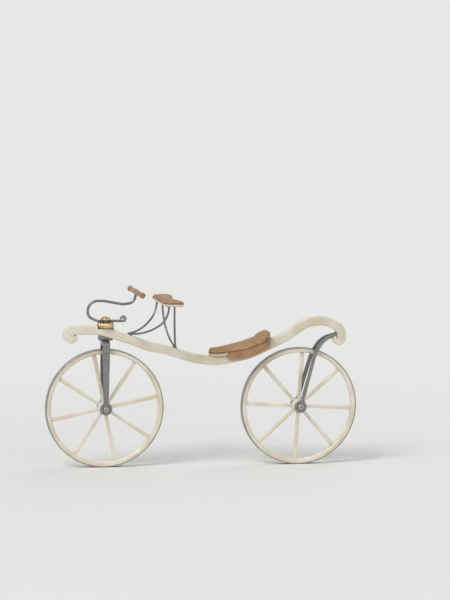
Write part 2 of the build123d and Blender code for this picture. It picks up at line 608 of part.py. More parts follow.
def stay_ends(foot_back, top_back):
    """Foot and top of a stay's line, and the upright plane through them both."""
    foot_x = HEAD_X - foot_back
    clear = STAY_R / cos(radians(perch_slope(foot_x))) + STAY_FOOT_GAP
    foot = Vector(foot_x, STAY_FOOT_Y, perch_height(foot_x)[1] + clear)
    top = Vector(HEAD_X - top_back, STAY_TOP_Y, ARM_REST_BASE_Z)
    out = Vector(top.X - foot.X, top.Y - foot.Y, 0)
    return foot, top, out.length, top.Z - foot.Z, Plane(origin=foot, x_dir=out, z_dir=out.cross(Vector(0, 0, 1)))


def front_stay():
    """Leaves the perch level and meets the board upright, by a long low arc and a shorter one."""
    foot, top, run, rise, plane = stay_ends(FRONT_STAY_FOOT_BACK, FRONT_STAY_TOP_BACK)
    s, c = sin(radians(FRONT_STAY_SWEEP)), cos(radians(FRONT_STAY_SWEEP))
    low_r = (run * c - rise * (1 - s)) / (s * c - (1 - s) * (1 - c))
    high_r = (rise - low_r * (1 - c)) / c
    low = JernArc((0, 0), (1, 0), low_r, FRONT_STAY_SWEEP)
    high = JernArc(low @ 1, low % 1, high_r, 90 - FRONT_STAY_SWEEP)
    path = plane * Wire(low.edges() + high.edges())
    return stay_rod(path, foot, top)


def rear_arm_stay():
    """One arc from the perch's top that meets the board upright."""
    foot, top, run, rise, plane = stay_ends(REAR_STAY_FOOT_BACK, REAR_STAY_TOP_BACK)
    radius = (run ** 2 + rise ** 2) / (2 * run)
    turn = degrees(acos((radius - run) / radius))
    arc = CenterArc((run - radius, rise), radius, -turn, turn)
    return stay_rod(plane * Wire(arc.edges()), foot, top)


for name, side in SIDES:
    pieces["arm_rest_stay_front_" + name] = mirrored(front_stay(), side)
    pieces["arm_rest_stay_rear_" + name] = mirrored(rear_arm_stay(), side)


# Saddle: a wooden tree that follows the perch, a stuffed seat with a cantle, and two side flaps
def saddle_plan(inset):
    """The saddle from above, pear-shaped: broad behind, narrow between the thighs."""
    left = [(SADDLE_REAR_X + inset + share * (SADDLE_LENGTH - 2 * inset), half - inset, r)
            for share, half, r in SADDLE_OUTLINE]
    corners = left + [(x, -y, r) for x, y, r in reversed(left)]
    return make_face(FilletPolyline(*[(x, y) for x, y, _ in corners], radius=[r for _, _, r in corners], close=True))


pad_low = TREE_THICK + SOFT_GAP
pad_high = TREE_THICK + SEAT_PAD_THICK
pieces["saddle_tree"] = layer(saddle_plan(TREE_INSET), 0, TREE_THICK)

cantle_end = SADDLE_REAR_X + CANTLE_LENGTH
rear_top = perch_height(SADDLE_REAR_X)[1] + pad_high
end_top = perch_height(cantle_end)[1] + pad_high
cantle = make_face(Polyline(
    (SADDLE_REAR_X, rear_top - SEAT_PAD_THICK / 2), (SADDLE_REAR_X, rear_top + CANTLE_RISE),
    (cantle_end, end_top), (cantle_end, end_top - SEAT_PAD_THICK / 2), close=True))
seat = layer(saddle_plan(0), pad_low, pad_high)
seat += slab(cantle, ARM_REST_SPAN) & seen_from_above(saddle_plan(0), 0, FAR)


def is_top_rim(edge):
    """True for the edges round the seat's top, and not for the creases across it."""
    middle = edge @ 0.5
    from_rear = middle.X - SADDLE_REAR_X
    on_rim = abs(middle.Y) > 1 or from_rear < 1 or from_rear > SADDLE_LENGTH - 1
    return on_rim and all((edge @ t).Z - perch_height((edge @ t).X)[1] > pad_high - 1.5 for t in (0.02, 0.98))


pieces["saddle_pad"] = fillet(seat.edges().filter_by(is_top_rim), SEAT_ROUND)

# Flaps: leather sheets that hang from the tree's edge down both sides of the perch
flap_ring = saddle_plan(0) - saddle_plan(FLAP_THICK)
flap_window = Pos(SADDLE_REAR_X + FLAP_START + FLAP_LENGTH / 2, FAR / 2) * Rectangle(FLAP_LENGTH, FAR)
flap = layer(flap_ring & flap_window, -FLAP_DROP, TREE_THICK)
for name, side in SIDES:
    pieces["saddle_flap_" + name] = mirrored(flap, side)

SEAT_X = SADDLE_REAR_X + SEAT_AHEAD
SEAT_Z = perch_height(SEAT_X)[1] + pad_high

os.makedirs("parts", exist_ok=True)
for name, solid in pieces.items():
    export_step(Pos(-SEAT_X, 0, -SEAT_Z) * solid, "parts/" + name + ".step")
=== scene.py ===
# %% [markdown]
# # A hobby horse running machine, dressed for its portrait
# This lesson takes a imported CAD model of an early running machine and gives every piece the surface
# that the real one has: old coach paint over ash wood, filed and oiled wrought iron, turned brass,
# stuffed and stitched leather. The CAD pieces stay where they are. New pieces are worked out with
# numpy as surfaces of two parameters, and each rides on the body that carries it.

# %% Load the frame
import json
import bmesh
import bpy
import numpy as np
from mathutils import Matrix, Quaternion, Vector
from mathutils.bvhtree import BVHTree


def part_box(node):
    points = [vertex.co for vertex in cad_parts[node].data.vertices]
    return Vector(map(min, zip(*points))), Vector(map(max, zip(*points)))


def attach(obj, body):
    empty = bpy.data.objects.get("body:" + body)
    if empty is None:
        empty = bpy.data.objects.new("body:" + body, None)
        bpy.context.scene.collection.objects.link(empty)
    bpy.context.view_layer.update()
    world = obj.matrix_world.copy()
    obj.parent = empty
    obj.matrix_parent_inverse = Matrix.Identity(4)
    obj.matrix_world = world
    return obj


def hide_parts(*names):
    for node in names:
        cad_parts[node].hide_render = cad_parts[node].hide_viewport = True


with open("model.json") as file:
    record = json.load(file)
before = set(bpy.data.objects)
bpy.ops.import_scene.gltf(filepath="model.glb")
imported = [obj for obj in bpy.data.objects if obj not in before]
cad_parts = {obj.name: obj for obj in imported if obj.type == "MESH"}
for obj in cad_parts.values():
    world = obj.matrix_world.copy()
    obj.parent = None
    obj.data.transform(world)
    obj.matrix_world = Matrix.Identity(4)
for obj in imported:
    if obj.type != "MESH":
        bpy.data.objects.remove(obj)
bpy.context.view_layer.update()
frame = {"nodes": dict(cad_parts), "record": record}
nodes = frame["nodes"]

# %% [markdown]
# ## Sizes that several steps share
# The places of the wheels and of the steering head are read from the frame, so they follow the CAD
# model when it changes. A tyre is a ring about its axle, so the middle of its box is the hub, and the
# wheel's radius is the height of the hub over the ground. X points forwards, Y to the left, Z up.

# %% Shared sizes
MM = 0.001


def low_of(name):
    """Lowest corner of a CAD node."""
    return np.array(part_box(name)[0])


def high_of(name):
    """Highest corner of a CAD node."""
    return np.array(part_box(name)[1])


HUBS = {wheel: (low_of(wheel + "_tyre") + high_of(wheel + "_tyre")) / 2 for wheel in ("front", "rear")}
FRONT_HUB, REAR_HUB = HUBS["front"], HUBS["rear"]
GROUND_Z = low_of("rear_tyre")[2]
WHEEL_R = REAR_HUB[2] - GROUND_Z
WHEEL_TOP_Z = GROUND_Z + 2 * WHEEL_R
WHEELBASE = FRONT_HUB[0] - REAR_HUB[0]
HEAD_X = FRONT_HUB[0]
print("wheelbase", round(WHEELBASE, 3), "wheel radius", round(WHEEL_R, 3))

# %% [markdown]
# ## Camera
# The drawing shows the machine from its left side, turned about twelve degrees so that the far end
# of the arm-rest shows, and from a little above. A long lens far away keeps both wheels the same
# size, as they are in the drawing, which leans by one degree on its sheet, so the camera does too.

# %% Camera
CAMERA_AZIMUTH = np.radians(168.0)
CAMERA_ELEVATION = np.radians(6.0)
CAMERA_ROLL = np.radians(1.0)
CAMERA_DISTANCE = 16.0
SENSOR_WIDTH = 36.0                 # millimetres, as the lens is
FAR_CLIP = 100.0
FRAME_HEIGHT = 600                  # pixels, the longer side of the frame
METRES_PER_PIXEL = 0.0059
AIM = REAR_HUB + np.array([0.458, 0.0, 0.634])


def toward(azimuth, elevation):
    """Unit vector from the object to a camera or lamp at that azimuth and elevation."""
    level = np.cos(elevation)
    return np.array([np.sin(azimuth) * level, -np.cos(azimuth) * level, np.sin(elevation)])


def add_camera():
    """A long lens whose field at the aim is as high as the frame's pixels times the drawing's scale."""
    data = bpy.data.cameras.new("camera")
    data.sensor_width = SENSOR_WIDTH
    data.lens = SENSOR_WIDTH * CAMERA_DISTANCE / (FRAME_HEIGHT * METRES_PER_PIXEL)
    data.clip_end = FAR_CLIP
    holder = bpy.data.objects.new("camera", data)
    bpy.context.scene.collection.objects.link(holder)
    back = Vector(toward(CAMERA_AZIMUTH, CAMERA_ELEVATION))
    holder.location = Vector(AIM) + back * CAMERA_DISTANCE
    upright = back.to_track_quat("Z", "Y")
    holder.rotation_euler = (upright @ Quaternion((0.0, 0.0, 1.0), CAMERA_ROLL)).to_euler()
    bpy.context.scene.camera = holder
    return holder


camera = add_camera()
print("camera at", [round(v, 2) for v in camera.location], "lens", round(camera.data.lens, 1))

# %% [markdown]
# ## Shader maths as Python
# A node tree is easier to read as arithmetic. A Wire holds one output socket and turns +, -, * and /
# into Math nodes. Any other node comes from one method, node, which takes its type, its settings and
# what goes into its sockets.

# %% Wires


class Wire:
    """One output socket with arithmetic: each operator adds a Math node."""

    def __init__(self, paint, socket):
        self.paint = paint
        self.socket = socket

    def math(self, operation, *others):
        """The Math node of that operation on this wire and the others, in order."""
        return self.paint.node("ShaderNodeMath", {"operation": operation}, [self, *others])

    def __add__(self, other):
        return self.math("ADD", other)

    def __mul__(self, other):
        return self.math("MULTIPLY", other)

    def __sub__(self, other):
        return self.math("SUBTRACT", other)

    def __rsub__(self, other):
        return self.paint.node("ShaderNodeMath", {"operation": "SUBTRACT"}, [other, self])

    def __truediv__(self, other):
        return self.math("DIVIDE", other)

    def __abs__(self):
        return self.math("ABSOLUTE")

    __radd__ = __add__
    __rmul__ = __mul__

    def step(self, low, high):
        """0 below low, 1 above high and a smooth step between. With low above high it falls."""
        return self.paint.node("ShaderNodeMapRange", {"interpolation_type": "SMOOTHSTEP"},
                               {"Value": self, "From Min": low, "From Max": high})


print("wires ready")

# %% [markdown]
# A Paint is a material under construction, with a Principled shader at its end. It keeps the handful
# of measures that every finish here is mixed from: where the point is, noise, how deep in a corner
# it lies, and how sharp the edge is. An edge is found by rounding the normal off: on a flat the
# rounded normal stays as it was, and on an edge it leans away.

# %% Paints
FLAT_LEAN, EDGE_LEAN = 0.01, 0.14   # one minus the cosine between the true and the rounded normal


class Paint:
    """A material under construction, with a Principled shader at its end, or a world."""

    def __init__(self, name, shelf=bpy.data.materials):
        self.owner = shelf.new(name)
        self.owner.use_nodes = True
        self.tree = self.owner.node_tree
        self.shader = self.tree.nodes.get("Principled BSDF")

    def feed(self, socket, value):
        """Links a wire to a socket, or sets the socket's own value."""
        if isinstance(value, Wire):
            self.tree.links.new(value.socket, socket)
        elif socket.type == "RGBA":
            socket.default_value = (*value, 1.0)
        else:
            socket.default_value = value

    def node(self, kind, settings=(), inputs=(), out=0):
        """Any node: its settings are set first, then its sockets get values or links."""
        made = self.tree.nodes.new(kind)
        for key, value in dict(settings).items():
            setattr(made, key, value)
        for key, value in inputs.items() if isinstance(inputs, dict) else enumerate(inputs):
            self.feed(made.inputs[key], value)
        return Wire(self, made.outputs[out])

    def spot(self, centre=(0.0, 0.0, 0.0), stretch=(1.0, 1.0, 1.0)):
        """Object coordinates counted from a centre, each axis stretched."""
        here = self.node("ShaderNodeTexCoord", out="Object")
        start = tuple(float(v) for v in centre)
        moved = self.node("ShaderNodeVectorMath", {"operation": "SUBTRACT"}, [here, start])
        return self.node("ShaderNodeVectorMath", {"operation": "MULTIPLY"}, [moved, stretch])

    def split(self, vector):
        """The three parts of a vector as wires."""
        return [self.node("ShaderNodeSeparateXYZ", (), [vector], out=k) for k in range(3)]

    def join(self, *parts):
        """Three wires as one vector."""
        return self.node("ShaderNodeCombineXYZ", (), parts)

    def noise(self, scale, detail=3.0, roughness=0.5, stretch=(1.0, 1.0, 1.0), flow=None):
        """Noise from 0 to 1 at so many waves a metre, in Object coordinates or in a flow's own."""
        place = flow(self) if flow else self.spot(stretch=stretch)
        return self.node("ShaderNodeTexNoise", (), {
            "Vector": place, "Scale": scale, "Detail": detail, "Roughness": roughness})

    def cells(self, scale):
        """The distance to the nearest border between cells, with so many cells a metre."""
        return self.node("ShaderNodeTexVoronoi", {"feature": "DISTANCE_TO_EDGE"},
                         {"Vector": self.spot(), "Scale": scale}, out="Distance")

    def mix(self, share, first, second):
        """Colour first where share is 0, second where it is 1."""
        return self.node("ShaderNodeMix", {"data_type": "RGBA"}, {0: share, 6: first, 7: second}, out=2)

    def bump(self, height, depth):
        """A normal from a height of 0 to 1 that stands for so many metres."""
        return self.node("ShaderNodeBump", (), {"Height": height, "Distance": depth}, out="Normal")

    def edge(self, radius):
        """1 on edges sharper than the radius and 0 on flats: how far a bevelled normal leans away."""
        eased = self.node("ShaderNodeBevel", {"samples": 4}, {"Radius": radius})
        true = self.node("ShaderNodeNewGeometry", out="Normal")
        lean = self.node("ShaderNodeVectorMath", {"operation": "DOT_PRODUCT"}, [eased, true], out="Value")
        return (1.0 - lean).step(FLAT_LEAN, EDGE_LEAN)

    def recess(self, distance):
        """1 deep in a corner and 0 in the open."""
        return 1.0 - self.node("ShaderNodeAmbientOcclusion", {"samples": 8}, {"Distance": distance}, out="AO")

    def finish(self, **sockets):
        """Feeds the Principled shader's sockets, named with underlines for their spaces."""
        for key, value in sockets.items():
            self.feed(self.shader.inputs[key.replace("_", " ")], value)
        return self.owner


print("paints ready")

# %% [markdown]
# ## Coach paint
# Coach builders painted the ash frame in several flat coats, rubbed each one down, and varnished it.
# With age the varnish yellows and crazes, corners chip to the wood and dirt gathers in the cracks. So
# the colour is cream, mixed towards brown in the cracks, towards bare wood on worn edges and, as painted
# shade, towards brown in the recesses, over the faint ripple of the brush and of the wood's grain. A noise
# is sized by its waves a metre: 6 make clouds as long as a hand, and 260 make ripples 4 mm apart.

# %% Coach paint
CREAM = (0.80, 0.75, 0.63)
YELLOWED = (0.70, 0.62, 0.46)
# this brown darkens the cracks and brush marks, and is also the painted shade in the recesses
GRIME_AND_SHADE = (0.17, 0.13, 0.09)
BARE_ASH = (0.36, 0.23, 0.12)
CLOUD_WAVES, SPECKLE_WAVES, BRUSH_WAVES, CRAZE_CELLS = 6.0, 170.0, 260.0, 150.0     # to a metre
# the first is how far into a recess the painted shade reaches
PAINT_SHADE_REACH, PAINT_CHIP_R, PAINT_RELIEF = 24 * MM, 1.6 * MM, 0.25 * MM
GRAIN_STRETCH = 0.07                # how much slower the grain changes along the wood than across it


def straight_flow(paint):
    """A flow whose grain runs along the machine."""
    return paint.spot(stretch=(GRAIN_STRETCH, 1.0, 1.0))


def aged_paint(name, flow=straight_flow):
    """Pale varnished paint, crazed, chipped, grimed in its cracks, with painted shade in its recesses. The
    flow turns the wood's grain along the piece.
    """
    paint = Paint(name)
    cloud = paint.noise(CLOUD_WAVES, 3.0)
    speckle = paint.noise(SPECKLE_WAVES, 5.0, 0.7)
    brushed = paint.noise(BRUSH_WAVES, 3.0, 0.6, flow=flow)
    crazed = paint.cells(CRAZE_CELLS).step(0.04, 0.0) * cloud.step(0.48, 0.62) * speckle.step(0.35, 0.6)
    deep = paint.recess(PAINT_SHADE_REACH).step(0.12, 0.85)
    chips = paint.edge(PAINT_CHIP_R) * speckle.step(0.51, 0.58)
    colour = paint.mix(cloud.step(0.36, 0.66), CREAM, YELLOWED)
    colour = paint.mix(brushed.step(0.45, 0.75) * 0.18 + crazed * 0.3, colour, GRIME_AND_SHADE)
    # painted shade: where ambient occlusion finds a recess, the colour is darkened towards brown
    colour = paint.mix(deep * (0.5 + cloud * 0.35), colour, GRIME_AND_SHADE)
    colour = paint.mix(chips * 0.9, colour, BARE_ASH)
    return paint.finish(
        Base_Color=colour, Roughness=0.27 + deep * 0.3 + chips * 0.3 + cloud * 0.14, Coat_Weight=0.3,
        Coat_Roughness=0.12, Normal=paint.bump(brushed * 0.6 + cloud * 0.4 - chips - crazed, PAINT_RELIEF))


coach_paint = aged_paint("coach_paint")
print("made", coach_paint.name)

# %% [markdown]
# ## Grain that follows the wheel
# A spoke is split along its grain and a felloe is sawn along it, so on the wheels the grain runs out
# from the nave and round the rim. Polar coordinates about the hub give both: the radius, the angle,
# and how far a point lies across its spoke, which is the radius times the sine of the angle from it.

# %% Grain of spokes and rims
SPOKE_PITCH = 45.0                              # degrees from spoke to spoke
FIRST_SPOKE = {"front": 12.0, "rear": -3.0}     # degrees up from straight back
NEXT_SPOKE_SHIFT = 0.3                          # moves the grain on for each radian from spoke to spoke
RIM_SIDE_SHARE = 0.8                            # how much the grain's rings lean over the rim's width


def spoke_flow(wheel):
    """A flow of the radius, the distance across the spoke, and y with a step from spoke to spoke."""
    half_pitch = np.radians(SPOKE_PITCH) / 2

    def flow(paint):
        x, y, z = paint.split(paint.spot(centre=HUBS[wheel]))
        radius = (x * x + z * z).math("SQRT")
        angle = z.math("ARCTAN2", x * -1.0) - np.radians(FIRST_SPOKE[wheel])
        from_spoke = angle.math("WRAP", half_pitch, -half_pitch)
        across = from_spoke.math("SINE") * radius
        return paint.join(radius * GRAIN_STRETCH, across, y + (angle - from_spoke) * NEXT_SPOKE_SHIFT)
    return flow


def rim_flow(wheel):
    """A flow that stays in step round the rim: the direction from the hub, and the radius with y."""
    slow = WHEEL_R * GRAIN_STRETCH

    def flow(paint):
        x, y, z = paint.split(paint.spot(centre=HUBS[wheel]))
        radius = (x * x + z * z).math("SQRT")
        return paint.join(x / radius * slow, z / radius * slow, radius + y * RIM_SIDE_SHARE)
    return flow


wheel_paints = {}
for wheel in HUBS:
    wheel_paints[wheel + "_spokes"] = aged_paint(wheel + "_spoke_paint", spoke_flow(wheel))
    wheel_paints[wheel + "_felloes"] = aged_paint(wheel + "_rim_paint", rim_flow(wheel))
print("made", [finish.name for finish in wheel_paints.values()])

# %% [markdown]
# ## Iron and brass
# The smith forged the stays and the fork, filed them bright and oiled them. Filing leaves a fine
# grain along the bar, the hammer leaves shallow facets below it, painted shade darkens the corners, and
# wear polishes the edges. Tyres are bare iron, scored by gravel. The collar and cap are turned brass.
# Spanners keep the nuts on the axles' ends brighter than the bars beside them.

# %% Iron and brass
IRON, IRON_DARK, IRON_BRIGHT = (0.17, 0.165, 0.16), (0.050, 0.040, 0.034), (0.50, 0.49, 0.48)
TYRE, TYRE_DARK, TYRE_BRIGHT = (0.24, 0.23, 0.22), (0.10, 0.070, 0.050), (0.62, 0.61, 0.60)
BRASS, BRASS_DARK, BRASS_BRIGHT = (0.68, 0.49, 0.22), (0.13, 0.075, 0.03), (0.86, 0.70, 0.38)
STAIN_WAVES, FILE_WAVES, PIT_WAVES = 11.0, 900.0, 330.0     # to a metre
METAL_EDGE_R = 1.2 * MM


def metal(name, tones, roughness, facet, file_stretch, depth, stained=0.55, reach=12 * MM):
    """A worked metal, from the tones of its body, its corners and its edges.

    facet is the hammer's waves a metre, file_stretch slows the file's marks along them, depth is how
    deep both are cut, stained is the strength of the stains, and reach is how far a corner's painted shade
    goes.
    """
    body, dark, bright = tones
    paint = Paint(name)
    patch = paint.noise(STAIN_WAVES, 4.0, 0.6)
    hammer = paint.noise(facet, 2.0, 0.5)
    filed = paint.noise(FILE_WAVES, 2.0, 0.6, stretch=file_stretch)
    pits = paint.noise(PIT_WAVES, 4.0, 0.7)
    deep = paint.recess(reach).step(0.12, 0.7)
    edge = paint.edge(METAL_EDGE_R)
    stain = patch.step(0.54, 0.72) * pits.step(0.40, 0.62)
    colour = paint.mix(filed * 0.2 + hammer.step(0.3, 0.7) * 0.2, body, bright)
    colour = paint.mix(stain * stained, colour, dark)
    # painted shade: where ambient occlusion finds a corner, the colour is darkened towards the dark tone
    colour = paint.mix(deep * 0.85, colour, dark)
    colour = paint.mix(edge * 0.7, colour, bright)
    rough = roughness + stain * 0.25 * stained + deep * 0.25 - edge * 0.1 + filed * 0.12 + hammer * 0.1
    return paint.finish(
        Base_Color=colour, Metallic=0.95 - deep * 0.3 - stain * 0.4 * stained, Roughness=rough,
        Normal=paint.bump(hammer * 0.7 + filed * 0.12 + pits * 0.12, depth))


wrought_iron = metal("oiled_wrought_iron", (IRON, IRON_DARK, IRON_BRIGHT), roughness=0.26, facet=70.0,
                     file_stretch=(1.0, 1.0, 0.05), depth=0.5 * MM)
tyre_iron = metal("worn_tyre_iron", (TYRE, TYRE_DARK, TYRE_BRIGHT), roughness=0.32, facet=45.0,
                  file_stretch=(0.03, 1.0, 0.03), depth=0.4 * MM)
bright_iron = metal("bright_iron", (TYRE_BRIGHT, IRON_DARK, TYRE_BRIGHT), roughness=0.24, facet=60.0,
                    file_stretch=(1.0, 0.05, 1.0), depth=0.2 * MM, stained=0.3, reach=20 * MM)
turned_brass = metal("turned_brass", (BRASS, BRASS_DARK, BRASS_BRIGHT), roughness=0.24, facet=20.0,
                     file_stretch=(0.06, 0.06, 1.0), depth=0.12 * MM, stained=0.25, reach=26 * MM)
print("made", [finish.name for finish in (wrought_iron, tyre_iron, bright_iron, turned_brass)])

# %% [markdown]
# ## Leather
# The seat is tanned hide: a grain of small rounded cells with pores between, darker in its creases,
# with painted shade in its folds and hollows, and polished where it is sat on. A Voronoi texture gives
# the cells, because its distance to a border is low in the pores and rises to a flat top in each cell.

# %% Leather
HIDE, HIDE_DARK, HIDE_WORN = (0.47, 0.27, 0.125), (0.14, 0.065, 0.03), (0.62, 0.41, 0.22)
PORE_CELLS, PATCH_WAVES, CREASE_WAVES = 520.0, 16.0, 60.0   # to a metre
# the first is how far into the folds and hollows the painted shade reaches
HIDE_SHADE_REACH, HIDE_RUB_R, HIDE_RELIEF = 18 * MM, 5 * MM, 0.45 * MM


def leather(name, polish):
    """Grained hide. polish from 0 to 1 is how far its raised parts are rubbed smooth and pale."""
    paint = Paint(name)
    grain = paint.cells(PORE_CELLS).step(0.0, 0.22)
    patch = paint.noise(PATCH_WAVES, 4.0, 0.6)
    crease = abs(paint.noise(CREASE_WAVES, 2.0, 0.5) - 0.5).step(0.03, 0.0) * patch.step(0.42, 0.62)
    deep = paint.recess(HIDE_SHADE_REACH).step(0.15, 0.8)
    rubbed = paint.edge(HIDE_RUB_R) * 0.6 + patch.step(0.45, 0.7) * 0.4
    colour = paint.mix(patch.step(0.3, 0.7) * 0.45, HIDE, HIDE_DARK)
    colour = paint.mix(rubbed * polish, colour, HIDE_WORN)
    colour = paint.mix((1.0 - grain) * 0.35 + crease * 0.14, colour, HIDE_DARK)
    # painted shade: where ambient occlusion finds a fold or hollow, the colour is darkened towards the dark
    # hide
    colour = paint.mix(deep * 0.75, colour, HIDE_DARK)
    return paint.finish(
        Base_Color=colour, Roughness=0.42 + deep * 0.25 + (1.0 - grain) * 0.15 - rubbed * 0.12,
        Normal=paint.bump(grain * 0.5 - crease * 0.4 + patch * 0.3, HIDE_RELIEF))


seat_leather = leather("seat_leather", 0.45)
skirt_leather = leather("skirt_leather", 0.2)
print("made", seat_leather.name, skirt_leather.name)

# %% [markdown]
# ## Thread and turned wood
# The cross grip was turned on a lathe, so its fine rings run round it, while the wood's own grain
# runs along it. A turner holds a wire against the spinning wood to scorch a line, and the grip has
# four of them each side. The leather is sewn with waxed linen thread, pale against the hide.

# %% Thread and turned wood
# the third colour is for the scorched rings, and is also the painted shade in the grip's recesses
WOOD, WOOD_DARK, SCORCH_AND_SHADE = (0.44, 0.26, 0.125), (0.24, 0.12, 0.05), (0.04, 0.022, 0.012)
SCORCHED_RINGS = [0.028, 0.034, 0.150, 0.156]      # metres each side of the grip's middle
RING_HALF, RING_SOFTNESS = 0.8 * MM, 0.15 * MM
THREAD, THREAD_DARK = (0.62, 0.52, 0.36), (0.36, 0.27, 0.16)
GRAIN_WAVES, LATHE_WAVES, TWIST_WAVES = 140.0, 700.0, 1500.0        # to a metre
# the first is how far into the grip's recesses the painted shade reaches
GRIP_SHADE_REACH, GRIP_RELIEF, THREAD_RELIEF = 8 * MM, 0.35 * MM, 0.2 * MM


def turned_wood():
    """Oiled wood with long grain, fine lathe rings and a few scorched ones, with painted shade in its
    recesses.
    """
    paint = Paint("grip_wood")
    y = paint.split(paint.spot())[1]
    grain = paint.noise(GRAIN_WAVES, 5.0, 0.65, stretch=(1.0, 0.05, 1.0))
    rings = paint.noise(LATHE_WAVES, 2.0, 0.5, stretch=(0.02, 1.0, 0.02))
    deep = paint.recess(GRIP_SHADE_REACH).step(0.2, 0.9)
    scorched = 0.0
    for place in SCORCHED_RINGS:
        ring = abs(abs(y) - place).step(RING_HALF + RING_SOFTNESS, RING_HALF - RING_SOFTNESS)
        scorched = ring.math("MAXIMUM", scorched)
    colour = paint.mix(grain.step(0.35, 0.65), WOOD, WOOD_DARK)
    colour = paint.mix(scorched * 0.9, colour, SCORCH_AND_SHADE)
    # painted shade: where ambient occlusion finds a recess, the colour is darkened towards near-black
    colour = paint.mix(deep * 0.6, colour, SCORCH_AND_SHADE)
    return paint.finish(
        Base_Color=colour, Roughness=0.34 + grain * 0.2 + deep * 0.2, Coat_Weight=0.15,
        Coat_Roughness=0.2, Normal=paint.bump(grain * 0.4 + rings * 0.3 - scorched, GRIP_RELIEF))


def waxed_thread():
    """Waxed linen thread: pale, matt, with a tight twist."""
    paint = Paint("waxed_thread")
    twist = paint.noise(TWIST_WAVES, 2.0, 0.5)
    colour = paint.mix(twist, THREAD, THREAD_DARK)
    relief = paint.bump(twist, THREAD_RELIEF)
    return paint.finish(Base_Color=colour, Roughness=0.7 + twist * 0.1, Normal=relief)


grip_wood = turned_wood()
thread = waxed_thread()
print("made", grip_wood.name, thread.name)

# %% [markdown]
# ## Finishes on the CAD pieces
# Each CAD piece has one material slot, named in the record. A table turns that slot's name into the
# finish made above. The axle nuts and the wheels' spokes and felloes then get finishes of their own.
# No finish is named as a slot is: the frame's plain materials hold those names already, and Blender
# adds a number to the second material of one name.

# %% Dress the CAD pieces
FINISHES = {
    "painted_wood": coach_paint, "wrought_iron": wrought_iron, "tyre_iron": tyre_iron,
    "brass": turned_brass, "saddle_leather": seat_leather, "turned_wood": grip_wood,
}
slot_of = {row["node"]: row["material_slot"] for row in frame["record"]["subparts"]}


def dress(name, finish):
    """Puts a finish in every material slot of a CAD piece."""
    for place in nodes[name].material_slots:
        place.material = finish


for name, slot in slot_of.items():
    dress(name, FINISHES[slot])
for name in nodes:
    if name.endswith(("axle_nut_left", "axle_nut_right")):
        dress(name, bright_iron)
for name, finish in wheel_paints.items():
    dress(name, finish)
print("dressed", len(slot_of), "pieces")

# %% [markdown]
# ## Surfaces from arrays
# A surface of two parameters is a grid of points. Its faces join each point to its neighbours, and
# a direction that comes round to its start is wrapped. At a pole a whole row of points falls
# together, so doubles are merged, which closes the pole, and then the faces are turned outwards.

# %% Grids and pieces
MERGE_DISTANCE = 1e-6
SHARP_ANGLE = np.radians(40.0)


def grid_faces(rows, columns, wrap=True):
    """Quads of a grid of rows by columns points, numbered row after row, wrapped along each row."""
    index = np.arange(rows * columns).reshape(rows, columns)
    if wrap:
        index = np.hstack([index, index[:, :1]])
    corners = [index[:-1, :-1], index[:-1, 1:], index[1:, 1:], index[1:, :-1]]
    return np.stack(corners, axis=-1).reshape(-1, 4)


def new_piece(name, points, faces, body, slot, finish, closed=True):
    """A mesh from arrays, riding on a body: doubles merged, faces outwards, smooth but for sharp edges."""
    mesh = bpy.data.meshes.new(name)
    mesh.from_pydata(points.reshape(-1, 3).tolist(), [], faces.tolist())
    shell = bmesh.new()
    shell.from_mesh(mesh)
    bmesh.ops.remove_doubles(shell, verts=shell.verts, dist=MERGE_DISTANCE)
    if closed:
        bmesh.ops.recalc_face_normals(shell, faces=shell.faces)
    shell.to_mesh(mesh)
    shell.free()
    mesh.shade_smooth()
    mesh.set_sharp_from_angle(angle=SHARP_ANGLE)
    mesh.materials.append(finish)
    made = bpy.data.objects.new(name, mesh)
    bpy.context.scene.collection.objects.link(made)
    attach(made, body)
    print(name, len(mesh.polygons), "faces")
    return made


print("grids ready")

# %% [markdown]
# A nail head, a rivet and a stitch are turnings: a profile carried round a line. One small turning is
# then copied to many places at once, with its z along each place's normal. A welt is a circle carried
# along a closed path, in the plane square to the path.

# %% Turnings, copies and welts
HEAD_SUNK = 0.6 * MM                # how far a nail head's flat base lies below the surface
WELT_SIDES = 10


def turning(profile, sides):
    """A turning about z: each (radius, height) point goes round a full circle."""
    radius, height = np.array(profile).T
    angle = np.linspace(0, 2 * np.pi, sides, endpoint=False)
    x, y = np.outer(radius, np.cos(angle)), np.outer(radius, np.sin(angle))
    z = np.outer(height, np.ones(sides))
    return np.stack([x, y, z], axis=-1).reshape(-1, 3), grid_faces(len(radius), sides)


def dome(radius, height, sides=12):
    """A nail head: a quarter ellipse turned about z, closed by a flat base a little below the surface."""
    t = np.linspace(0, np.pi / 2, 5)
    curve = zip(radius * np.cos(t), height * np.sin(t))
    return turning([(0, -HEAD_SUNK), (radius, -HEAD_SUNK), *curve], sides)


def unit(vectors):
    """Each row scaled to length one."""
    return vectors / np.linalg.norm(vectors, axis=-1, keepdims=True)


def copies(shape, spots, normals, headings):
    """Copies of a small shape at each spot: its z turned to the normal and its x near the heading."""
    points, faces = shape
    along = unit(headings - normals * (headings * normals).sum(-1, keepdims=True))
    axes = np.stack([along, np.cross(normals, along), normals], axis=1)
    moved = np.einsum("pk,mkc->mpc", points, axes) + spots[:, None]
    numbered = faces[None] + len(points) * np.arange(len(spots))[:, None, None]
    return moved.reshape(-1, 3), numbered.reshape(-1, 4)


